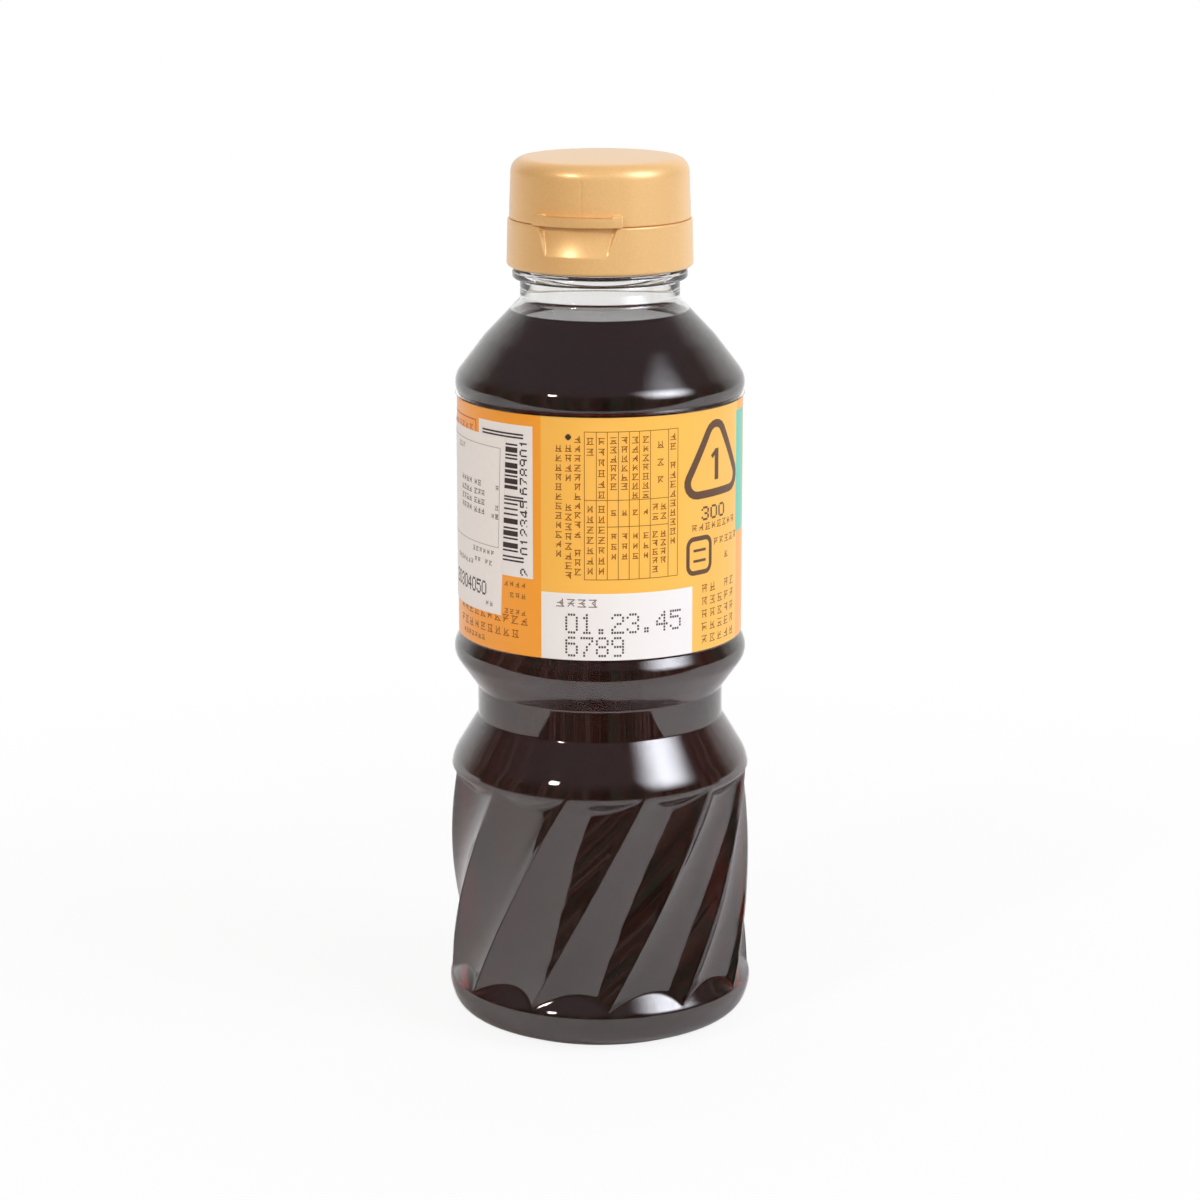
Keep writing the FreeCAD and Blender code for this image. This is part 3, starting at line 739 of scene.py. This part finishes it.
STROKES = [(0.5, 0.84, 0.8, 0), (0.5, 0.47, 0.66, 0), (0.5, 0.12, 0.86, 0), (0.27, 0.5, 0.8, 90),
           (0.72, 0.5, 0.84, 90), (0.36, 0.32, 0.55, 48), (0.62, 0.34, 0.55, -42),
           (0.62, 0.66, 0.45, 35)]
STROKES_PER_MARK = 5


def small_print(left, top, columns, rows, pitch, leading, line=0.15, upright=True, size=None):
    """A block of small print: in each place a few short strokes that spell nothing."""
    size = size or min(pitch, leading) * 0.86
    for column in range(columns):
        for row in range(rows[column % len(rows)]):
            x = left + (column * leading if upright else row * pitch)
            z = top - (row * pitch if upright else column * leading)
            if random.random() < 0.03:
                continue
            for across, up, reach, angle in random.sample(STROKES, STROKES_PER_MARK):
                stroke(x + size * across, z - size * (1 - up), size * reach, angle, line)


def wrap_ink(name, material, radius, askew=None):
    """Wraps the collected marks round the film at a radius, gives the ink its thickness, and
    empties the collection. Askew may move a flat place first, as for a crooked sticker."""
    mesh = bpy.data.meshes.new(name)
    corners = [place for face in ink_faces for place in face]
    if askew:
        corners = [askew(*place) for place in corners]
    wrapped_corners = [wrapped(arc, height, radius) for arc, height in corners]
    faces = [range(i, i + 4) for i in range(0, len(corners), 4)]
    mesh.from_pydata(wrapped_corners, [], faces)
    sheet = bpy.data.objects.new(name, mesh)
    bpy.context.collection.objects.link(sheet)
    for face in mesh.polygons:
        if face.normal.dot(Vector((face.center.x, face.center.y, 0))) < 0:
            face.flip()
    select_only(sheet)
    thicken = sheet.modifiers.new("ink", "SOLIDIFY")
    thicken.thickness = INK * MM
    thicken.offset = 1
    bpy.ops.object.modifier_apply(modifier="ink")
    finish_piece(sheet, material, None, "bottle")
    ink_faces.clear()


def wrapped(arc, height, radius):
    """Where a flat place on the film comes to lie round the bottle."""
    turn = arc / LABEL_RADIUS
    return Vector((math.sin(turn) * radius, -math.cos(turn) * radius, height)) * MM


INK_GRAINS_PER_METRE = 1500.0


def ink_material(name, web_colour, roughness=0.45):
    """Printing ink: a flat colour with the film's own slight sheen, a little uneven in density."""
    material, tree, output = new_material(name)
    spot = add_node(tree, "ShaderNodeTexCoord").outputs["Object"]
    density = add_node(tree, "ShaderNodeTexNoise", Vector=spot, Scale=INK_GRAINS_PER_METRE,
                       Detail=2.0)
    tone = add_node(tree, "ShaderNodeMapRange", Value=density.outputs["Fac"], To_Min=0.85, To_Max=1.15)
    colour = add_node(tree, "ShaderNodeMix", {"data_type": "RGBA", "blend_type": "MULTIPLY"}, Factor=1.0)
    colour.inputs[6].default_value = linear(web_colour)
    tree.links.new(tone.outputs[0], colour.inputs[7])
    ink = add_node(tree, "ShaderNodeBsdfPrincipled", Base_Color=colour.outputs[2],
                   Roughness=roughness)
    tree.links.new(ink.outputs[0], output.inputs["Surface"])
    return material


INK_RADIUS = LABEL_RADIUS + 0.004

# %% Brown print: the table
TABLE_LEFT, TABLE_RIGHT, TABLE_BOTTOM, TABLE_TOP = -2.95, 15.2, 92.7, 120.6
COLUMN_LINES = [-0.74, 1.29, 3.32, 5.37, 7.27, 9.4, 13.06]
TABLE_LINE = 0.12
frame_lines(TABLE_LEFT, TABLE_RIGHT, TABLE_BOTTOM, TABLE_TOP, TABLE_LINE)
for x in COLUMN_LINES:
    bar(x, TABLE_BOTTOM + TABLE_LINE, TABLE_LINE, TABLE_TOP - TABLE_BOTTOM - 2 * TABLE_LINE)
bar(TABLE_LEFT + TABLE_LINE, 107.7, 13.06 - TABLE_LEFT - TABLE_LINE, TABLE_LINE)
bar(1.29 + TABLE_LINE, 102.7, 13.06 - 1.29 - TABLE_LINE, TABLE_LINE)
small_print(-2.6, 119.6, 2, [2, 6], 2.0, 2.1, size=1.55)
small_print(-2.6, 106.9, 2, [7, 7], 1.95, 2.1, size=1.55)
small_print(1.72, 119.7, 4, [6, 6, 7, 7], 1.72, 2.03, size=1.5)
small_print(1.9, 106.0, 4, [1], 1.9, 2.03, size=1.2)
small_print(1.9, 101.6, 4, [3], 1.9, 2.03, size=1.3)
small_print(10.7, 118.6, 1, [3], 3.3, 2.0, size=1.55)
small_print(9.75, 106.9, 2, [2, 2], 1.8, 1.65, size=1.45)
small_print(9.75, 101.7, 2, [5, 4], 1.65, 1.65, size=1.4)
small_print(13.35, 119.8, 1, [12], 1.78, 2.0, size=1.5)

# %% Brown print: the blocks of small print
small_print(-4.9, 119.9, 1, [15], 1.78, 2.0, size=1.5)
small_print(-6.65, 118.2, 1, [14], 1.84, 2.0, size=1.55)
small_print(-8.5, 118.1, 1, [12], 1.8, 2.0, size=1.5)
small_print(20.9, 90.2, 5, [5], 2.45, 2.35, size=1.9)
small_print(24.3, 98.6, 1, [5], 1.85, 2.0, upright=False, size=1.6)
small_print(26.4, 95.6, 1, [2], 1.6, 2.0, upright=False, size=1.6)
small_print(18.3, 101.9, 1, [8], 1.75, 2.0, upright=False, size=1.6)
small_print(-19.6, 91.3, 1, [5], 1.35, 2.0, upright=False, size=1.1, line=0.11)
small_print(-19.6, 89.2, 1, [4], 1.35, 2.0, upright=False, size=1.1, line=0.11)
small_print(-19.6, 86.0, 1, [4], 1.35, 2.0, upright=False, size=1.1, line=0.11)
small_print(-35.4, 84.9, 1, [10], 2.18, 2.0, upright=False, size=1.9)
small_print(-35.4, 82.2, 1, [9], 2.2, 2.0, upright=False, size=1.8)
small_print(-34.0, 79.7, 1, [7], 1.3, 2.0, upright=False, size=1.1, line=0.12)
wrap_ink("label_brown_print", ink_material("brown_printing_ink", "#8C4A10"), INK_RADIUS)

# %% Red-brown box
frame_lines(-45.0, -27.6, 115.0, 120.6, 0.22)
small_print(-44.0, 119.6, 1, [8], 1.95, 2.0, upright=False, size=1.6)
wrap_ink("label_red_box", ink_material("red_brown_printing_ink", "#C4521C"), INK_RADIUS)

# %% [markdown]
# Plain numbers come in two kinds. The date coder leaves its numbers as rows of separate dots. The
# numbers beside the bar code are solid, and lie on their side. Both use the same small patterns
# of five dots by seven, where neighbouring dots of a row join up when the number is solid.

# %% Numbers
DIGITS = {
    "0": "01110 10001 10001 10001 10001 10001 01110", "1": "00100 01100 00100 00100 00100 00100 01110",
    "2": "01110 10001 00001 00110 01000 10000 11111", "3": "01110 10001 00001 00110 00001 10001 01110",
    "4": "00010 00110 01010 10010 11111 00010 00010", "5": "11111 10000 11110 00001 00001 10001 01110",
    "6": "01110 10000 11110 10001 10001 10001 01110", "7": "11111 00001 00010 00100 00100 01000 01000",
    "8": "01110 10001 10001 01110 10001 10001 01110", "9": "01110 10001 10001 01111 00001 00001 01110",
    ".": "00000 00000 00000 00000 00000 01100 01100", " ": "00000 00000 00000 00000 00000 00000 00000",
}
DIGIT_COLUMNS, DIGIT_ROWS = 5, 7


def numbers(text, left, top, spacing, width, height, solid=0.0, turned_up=False):
    """Plain numbers in dots, or solid where solid is the share by which dots overlap. Turned up,
    they read from the bottom to the top, and left is then their foot's place."""
    across, down = width / DIGIT_COLUMNS, height / DIGIT_ROWS
    dot = 0.72 + solid
    for place, digit in enumerate(text):
        for row, dots in enumerate(DIGITS[digit].split()):
            for column, shown in enumerate(dots):
                if shown == "0":
                    continue
                x, z = place * spacing + column * across, -(row + 1) * down
                if turned_up:
                    bar(left - height - z - down, top + x, down * dot, across * dot)
                else:
                    bar(left + x, top + z, across * dot, down * dot)


# %% Black print: date, bar code and numbers
numbers("01.23.45", -6.5, 86.4, 2.87, 2.5, 3.95)
numbers("6789", -6.5, 82.0, 2.87, 2.5, 3.95)
stroke(-5.9, 119.5, 1.05, 0, 0.62)
stroke(-5.9, 119.5, 0.62, 0, 1.05)
stroke(-5.9, 119.5, 0.9, 45, 0.9)

BARCODE_LEFT, BARCODE_RIGHT, GUARD_RIGHT = -22.0, -16.2, -14.9
BARCODE_BOTTOM, BARCODE_TOP = 95.9, 118.2
GUARDS = [95.2, 95.9, 106.75, 107.3, 118.6, 119.2]
GUARD_LINE = 0.33
BAR_WIDTHS = [0.33, 0.33, 0.33, 0.66, 0.99]
place = BARCODE_BOTTOM + 1.0
while place < BARCODE_TOP:
    thick = random.choice(BAR_WIDTHS)
    if min(abs(place + thick / 2 - guard) for guard in GUARDS) > 0.5:
        bar(BARCODE_LEFT, place, BARCODE_RIGHT - BARCODE_LEFT, thick)
    place += thick + random.choice([0.33, 0.33, 0.66])
for guard in GUARDS:
    left = -25.4 if guard > BARCODE_TOP else BARCODE_LEFT
    bar(left, guard - GUARD_LINE / 2, GUARD_RIGHT - left, GUARD_LINE)
numbers("012345", -13.7, 96.6, 1.78, 1.35, 2.0, solid=0.38, turned_up=True)
numbers("678901", -13.7, 108.0, 1.78, 1.35, 2.0, solid=0.38, turned_up=True)
numbers("2", -13.7, 92.6, 1.78, 1.35, 2.0, solid=0.38, turned_up=True)
wrap_ink("label_black_print", ink_material("black_printing_ink", "#3A2C2A", 0.5), INK_RADIUS)

# %% Grey caption over the date
small_print(-8.4, 89.2, 1, [4], 2.05, 2.0, upright=False, size=1.85, line=0.2)
wrap_ink("label_grey_caption", ink_material("warm_grey_printing_ink", "#8A7A72"), INK_RADIUS)

# %% [markdown]
# ## Two plain marks
#
# Beside the table are two heavy dark-brown marks: a rounded triangle with a plain number in it
# and a rounded square. Each is a closed loop of one width. Its two edges are parallel, so both
# come from the same arc centres, with radii that differ by the width.

# %% Marks
CORNER_STEPS = 6


def loop_mark(corners, reach, rounding, line, turn, middle, squeeze):
    """A closed loop of a few rounded corners about a place on the film. The reach is the distance
    from the middle to each corner before it is rounded."""
    half_corner = math.pi * (0.5 - 1 / corners)
    swing = math.pi / corners
    pairs = []
    for corner in range(corners):
        way = math.radians(turn) + 2 * math.pi * corner / corners
        centre = Vector((math.cos(way), math.sin(way))) * (reach - rounding / math.sin(half_corner))
        for step in range(CORNER_STEPS + 1):
            angle = way + swing * (2 * step / CORNER_STEPS - 1)
            out = Vector((math.cos(angle), math.sin(angle)))
            pairs.append((centre + out * (rounding - line / 2), centre + out * (rounding + line / 2)))
    for (inner, outer), (next_inner, next_outer) in zip(pairs, pairs[1:] + pairs[:1]):
        ring = (inner, outer, next_outer, next_inner)
        lay_ink([(place.x * squeeze + middle[0], place.y + middle[1]) for place in ring])


loop_mark(3, 10.3, 2.4, 1.5, 90, (24.9, 112.4), 1.05)
bar(24.6, 109.6, 1.15, 5.9)
stroke(24.35, 114.6, 1.7, 38, 0.8)
loop_mark(4, 4.6, 1.5, 0.9, 45, (20.5, 95.8), 0.9)
stroke(20.5, 96.8, 3.2, 0, 0.5)
stroke(20.5, 94.8, 3.2, 0, 0.5)
numbers("300", 20.9, 104.9, 2.5, 2.0, 2.6, solid=0.34)
wrap_ink("label_marks", ink_material("dark_brown_printing_ink", "#63452F"), INK_RADIUS)

# %% [markdown]
# ## The import sticker
#
# A white paper sticker was put over the label by hand, a little askew, with thin grey lines and
# grey small print. It is a sheet of its own: a grid plane, moved to its four corners, wrapped,
# and given the paper's thickness.

# %% Sticker sheet
PAPER = 0.1
STICKER_RADIUS = 27.27
STICKER_CORNERS = {"left_low": (-65.1, 83.95), "right_low": (-20.3, 84.3),
                   "left_high": (-63.8, 118.65), "right_high": (-18.9, 118.2)}


def on_sticker(across, up):
    """A place on the sticker, from 0 to 1 across and up, as arc length and height."""
    low = Vector(STICKER_CORNERS["left_low"]).lerp(Vector(STICKER_CORNERS["right_low"]), across)
    high = Vector(STICKER_CORNERS["left_high"]).lerp(Vector(STICKER_CORNERS["right_high"]), across)
    return low.lerp(high, up)


select_only()
bpy.ops.mesh.primitive_grid_add(x_subdivisions=64, y_subdivisions=24, size=1)
sticker = bpy.context.object
sticker.name = "import_sticker_sheet"
for vertex in sticker.data.vertices:
    place = on_sticker(vertex.co.x + 0.5, vertex.co.y + 0.5)
    vertex.co = wrapped(place.x, place.y, STICKER_RADIUS)
paper_sheet = sticker.modifiers.new("paper", "SOLIDIFY")
paper_sheet.thickness = PAPER * MM
paper_sheet.offset = 1
bpy.ops.object.modifier_apply(modifier="paper")

# Coated label paper: nearly white, a little grey, satin, with a very fine unevenness.
FIBRES_PER_METRE = 900.0
sticker_paper, tree, output = new_material("coated_sticker_paper")
spot = add_node(tree, "ShaderNodeTexCoord").outputs["Object"]
fibre = add_node(tree, "ShaderNodeTexNoise", Vector=spot, Scale=FIBRES_PER_METRE, Detail=3.0)
tone = add_node(tree, "ShaderNodeMapRange", Value=fibre.outputs["Fac"], To_Min=0.97, To_Max=1.03)
colour = add_node(tree, "ShaderNodeMix", {"data_type": "RGBA", "blend_type": "MULTIPLY"}, Factor=1.0)
colour.inputs[6].default_value = linear("#F7F5F2")
tree.links.new(tone.outputs[0], colour.inputs[7])
sheet_shader = add_node(tree, "ShaderNodeBsdfPrincipled", Base_Color=colour.outputs[2], Roughness=0.5)
tree.links.new(sheet_shader.outputs[0], output.inputs["Surface"])
finish_piece(sticker, sticker_paper, "import_sticker", "bottle")

# %% Sticker print
PRINT_RADIUS = STICKER_RADIUS + PAPER + 0.002
LEAN, SLOPE = 0.034, 0.012
LEAN_FROM = (-20.0, 100.0)


def askew(arc, height):
    """Turns a straight place on the sticker with the sticker."""
    return arc + (height - LEAN_FROM[1]) * LEAN, height - (arc - LEAN_FROM[0]) * SLOPE


frame_lines(-61.5, -20.7, 97.1, 116.2, 0.12)
small_print(-60.0, 114.9, 1, [14], 1.3, 1.7, line=0.1, upright=False)
small_print(-60.0, 112.6, 1, [8], 1.3, 1.7, line=0.1, upright=False)
small_print(-36.5, 115.4, 1, [3], 1.3, 1.7, line=0.13, upright=False, size=1.2)
wrap_ink("sticker_grey_print", ink_material("light_grey_printing_ink", "#A8A4A0", 0.6), PRINT_RADIUS,
         askew)
small_print(-60.0, 109.3, 4, [10, 8, 9, 8], 1.3, 1.75, line=0.13, upright=False)
small_print(-34.4, 109.3, 4, [4, 4, 4, 4], 1.25, 1.75, line=0.15, upright=False, size=1.25)
small_print(-28.6, 109.3, 4, [2, 3, 3, 3], 1.25, 1.75, line=0.16, upright=False, size=1.25)
small_print(-21.9, 109.0, 1, [1], 1.2, 1.5, line=0.13, upright=False)
small_print(-21.9, 105.2, 2, [1], 1.2, 1.6, line=0.13, upright=False)
small_print(-22.9, 103.4, 1, [2], 1.1, 1.6, line=0.13, upright=False)
small_print(-28.9, 96.4, 1, [6], 1.2, 1.5, line=0.13, upright=False)
small_print(-28.2, 94.4, 1, [5], 1.2, 1.5, line=0.13, upright=False)
small_print(-36.9, 93.6, 1, [7], 1.2, 1.5, line=0.13, upright=False)
small_print(-24.2, 86.6, 1, [2], 1.2, 1.5, line=0.11, upright=False)
wrap_ink("sticker_small_print", ink_material("grey_printing_ink", "#7C7672", 0.6), PRINT_RADIUS,
         askew)
numbers("20304050", -38.0, 90.1, 1.78, 1.5, 2.7, solid=0.34)
wrap_ink("sticker_numbers", ink_material("dark_grey_printing_ink", "#5C5653", 0.6), PRINT_RADIUS,
         askew)

# %% [markdown]
# ## The flip-top cap
#
# The cap is two mouldings: a collar that snaps on the neck and a lid that flips up on a hinge at
# the back. In front, the lid has a thumb tab, and the collar a scoop below it for the thumb. The
# collar and the lid are turned. Their rows and columns are dense where the scoop and the hinge
# band are, so that moving vertices shapes those as softly as a mould does. The same way cuts the
# fine upright line that the mould left on the front of the lid.

# %% Cap measures
FRONT_TURN = -15.5
SPLIT = 156.6
LID_DEPTH = 11.37
LID_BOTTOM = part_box("cap_lid")[1].z / MM - LID_DEPTH
COLLAR_WALL_FROM, COLLAR_FOOT = 16.5, 148.5
LID_WALL_FROM, LID_SHOULDER, BAND_CLEAR = 16.3, 165, 0.5
COLLAR_CORNERS = [
    (14.6, 151, 0), (14.6, 147.6, 0.2), (17.68, 147.6, 0.7), (17.45, SPLIT, 0.35), (15.95, SPLIT, 0.15),
    (15.95, 156.0, 0.1), (5.2, 156.0, 0.3), (5.2, 160.2, 0.3), (4.0, 160.2, 0.3), (4.0, 154.6, 0.1),
    (14.6, 154.6, 0.1), (14.6, 151, 0),
]
LID_CORNERS = [
    (0, 168.05, 0), (16.75, 168.05, 2.8), (17.15, 156.68, 0.25), (15.85, 156.68, 0.15),
    (15.45, 166.55, 1.6), (0, 166.55, 0),
]
CAP_COLUMNS = 288
CROWDED = 36.0
SCOOP_DEPTH, SCOOP_RADIUS, SCOOP_DROP = 0.95, 16.5, 5.6
SCOOP_TOP_HALF, SCOOP_BOTTOM_HALF, SCOOP_EDGE = 8.0, 6.2, 0.45
BAND_RADIUS, BAND_HALF_ARC, BAND_EDGE = 17.95, 60.0, 1.6
BAND_LOW, BAND_HIGH, BAND_BEVEL = 155.0, 159.78, 0.55
PARTING_AT, PARTING_HALF, PARTING_DEPTH, PARTING_FROM = 3.5, 1.1, 0.07, 157.2


def ramp(low, high, value):
    """Rises smoothly from 0 to 1 between two values."""
    share = min(max((value - low) / (high - low), 0), 1)
    return share * share * (3 - 2 * share)


def crowd_front(azimuth):
    """Draws half of the columns into the part round the tab. Gives the angle from the tab."""
    half = abs(azimuth)
    spread = half * CROWDED / 90 if half < 90 else CROWDED + (half - 90) * (180 - CROWDED) / 90
    return math.copysign(spread, azimuth)


def hinge_band(from_tab, radius, height):
    """Raises the outer wall into the hinge band at the back."""
    behind = 180 - abs(from_tab)
    along = 1 - ramp(BAND_HALF_ARC - BAND_EDGE, BAND_HALF_ARC, behind)
    above_foot = min(max((height - BAND_LOW) / BAND_BEVEL, 0), 1)
    below_top = min(max((BAND_HIGH - height) / BAND_BEVEL, 0), 1)
    up = above_foot * below_top
    return radius + (BAND_RADIUS - radius) * along * up


def collar_shape(azimuth, radius, height):
    from_tab = crowd_front(azimuth)
    if radius > COLLAR_WALL_FROM and height > COLLAR_FOOT:
        radius = hinge_band(from_tab, radius, height)
        drop = SPLIT - height
        depth = SCOOP_DEPTH - SCOOP_RADIUS + math.sqrt(SCOOP_RADIUS**2 - drop**2)
        half = SCOOP_TOP_HALF + (SCOOP_BOTTOM_HALF - SCOOP_TOP_HALF) * drop / SCOOP_DROP
        arc = abs(math.radians(from_tab)) * radius
        inside = 1 - ramp(half - SCOOP_EDGE, half, arc)
        radius -= max(depth, 0) * inside
    return from_tab + FRONT_TURN, radius, height


def lid_shape(azimuth, radius, height):
    from_tab = crowd_front(azimuth)
    if radius > LID_WALL_FROM and height < BAND_HIGH + BAND_CLEAR:
        radius = hinge_band(from_tab, radius, height)
    if radius > LID_WALL_FROM and PARTING_FROM < height < LID_SHOULDER:
        radius -= PARTING_DEPTH * (1 - ramp(0, PARTING_HALF, abs(from_tab - PARTING_AT)))
    return from_tab + FRONT_TURN, radius, height


# %% Collar and lid
collar_outline = with_rows(rounded(COLLAR_CORNERS), 149.5, SPLIT - 0.3, 0.25, beyond=16.8)
collar = turned("cap_collar", collar_outline, CAP_COLUMNS, closed=True)
reshape(collar, collar_shape)
lid_outline = with_rows(rounded(LID_CORNERS), LID_BOTTOM + 0.3, 160.4, 0.25, beyond=16.4)
lid = turned("cap_flip_lid", lid_outline, CAP_COLUMNS)
reshape(lid, lid_shape)

# %% [markdown]
# The thumb tab is a curved bar with a narrower lip below it. It is built flat, from a cube that is
# cut into columns: the columns in the middle are extruded down for the lip. Then it is bent to the
# lid's round, and Bevel softens its edges.

# %% Thumb tab
TAB_ARC_LEFT, TAB_ARC_RIGHT = -29, 29
LIP_LEFT, LIP_RIGHT = -20, 23
TAB_TOP, TAB_BOTTOM, LIP_BOTTOM = SPLIT + 2.3, LID_BOTTOM, SPLIT - 0.5
TAB_INNER, TAB_OUTER = 16.85, 18.15
TAB_COLUMNS = TAB_ARC_RIGHT - TAB_ARC_LEFT

select_only()
bpy.ops.mesh.primitive_cube_add(size=1)
tab = bpy.context.object
tab.name = "thumb_tab"
for vertex in tab.data.vertices:
    corner = vertex.co
    vertex.co = (TAB_ARC_RIGHT if corner.x > 0 else TAB_ARC_LEFT,
                 TAB_INNER if corner.y > 0 else TAB_OUTER,
                 TAB_TOP if corner.z > 0 else TAB_BOTTOM)
select_only(tab)
bpy.ops.object.mode_set(mode="EDIT")
for column in range(1, TAB_COLUMNS):
    bpy.ops.mesh.select_all(action="SELECT")
    bpy.ops.mesh.bisect(plane_co=(TAB_ARC_LEFT + column, 0, 0), plane_no=(1, 0, 0))
bpy.ops.mesh.select_all(action="DESELECT")
bpy.ops.object.mode_set(mode="OBJECT")
for face in tab.data.polygons:
    face.select = face.normal.z < -0.9 and LIP_LEFT < face.center.x < LIP_RIGHT
bpy.ops.object.mode_set(mode="EDIT")
bpy.ops.mesh.select_mode(type="FACE")
bpy.ops.mesh.extrude_region_move(TRANSFORM_OT_translate={"value": (0, 0, LIP_BOTTOM - TAB_BOTTOM)})
bpy.ops.mesh.select_all(action="SELECT")
bpy.ops.mesh.remove_doubles(threshold=0.0001)
bpy.ops.object.mode_set(mode="OBJECT")
for vertex in tab.data.vertices:
    turn = math.radians(vertex.co.x + FRONT_TURN)
    radius = vertex.co.y
    vertex.co = Vector((radius * math.sin(turn), -radius * math.cos(turn), vertex.co.z)) * MM
select_only(tab)
bpy.ops.object.mode_set(mode="EDIT")
bpy.ops.mesh.select_all(action="SELECT")
bpy.ops.mesh.normals_make_consistent(inside=False)
bpy.ops.object.mode_set(mode="OBJECT")
soften = tab.modifiers.new("soften", "BEVEL")
soften.width = 0.2 * MM
soften.segments = 3
soften.angle_limit = math.radians(40)
bpy.ops.object.modifier_apply(modifier="soften")
select_only(lid, tab)
bpy.ops.object.join()

# %% Cap material
# Polypropylene with gold mica pigment, moulded with a satin face: the flakes in it give a broad
# soft glint, and the plastic over them a pale sheen where it is seen at a shallow angle.
gold_plastic, tree, output = new_material("gold_mica_polypropylene")
spot = add_node(tree, "ShaderNodeTexCoord").outputs["Object"]
FLAKES_PER_METRE = 5200.0
flake = add_node(tree, "ShaderNodeTexNoise", Vector=spot, Scale=FLAKES_PER_METRE, Detail=2.0)
glint = add_node(tree, "ShaderNodeMapRange", Value=flake.outputs["Fac"], From_Min=0.3, From_Max=0.7,
                 To_Min=0.93, To_Max=1.05)
gold = add_node(tree, "ShaderNodeMix", {"data_type": "RGBA", "blend_type": "MULTIPLY"}, Factor=1.0)
gold.inputs[6].default_value = linear("#F5C886")
tree.links.new(glint.outputs[0], gold.inputs[7])
moulded = add_node(tree, "ShaderNodeBsdfPrincipled", Base_Color=gold.outputs[2], Metallic=0.2,
                   Roughness=0.36, IOR=1.49, Coat_Weight=0.3, Coat_Roughness=0.2)
tree.links.new(moulded.outputs[0], output.inputs["Surface"])
finish_piece(collar, gold_plastic, "cap_base", "bottle")
finish_piece(lid, gold_plastic, "cap_lid", "lid")
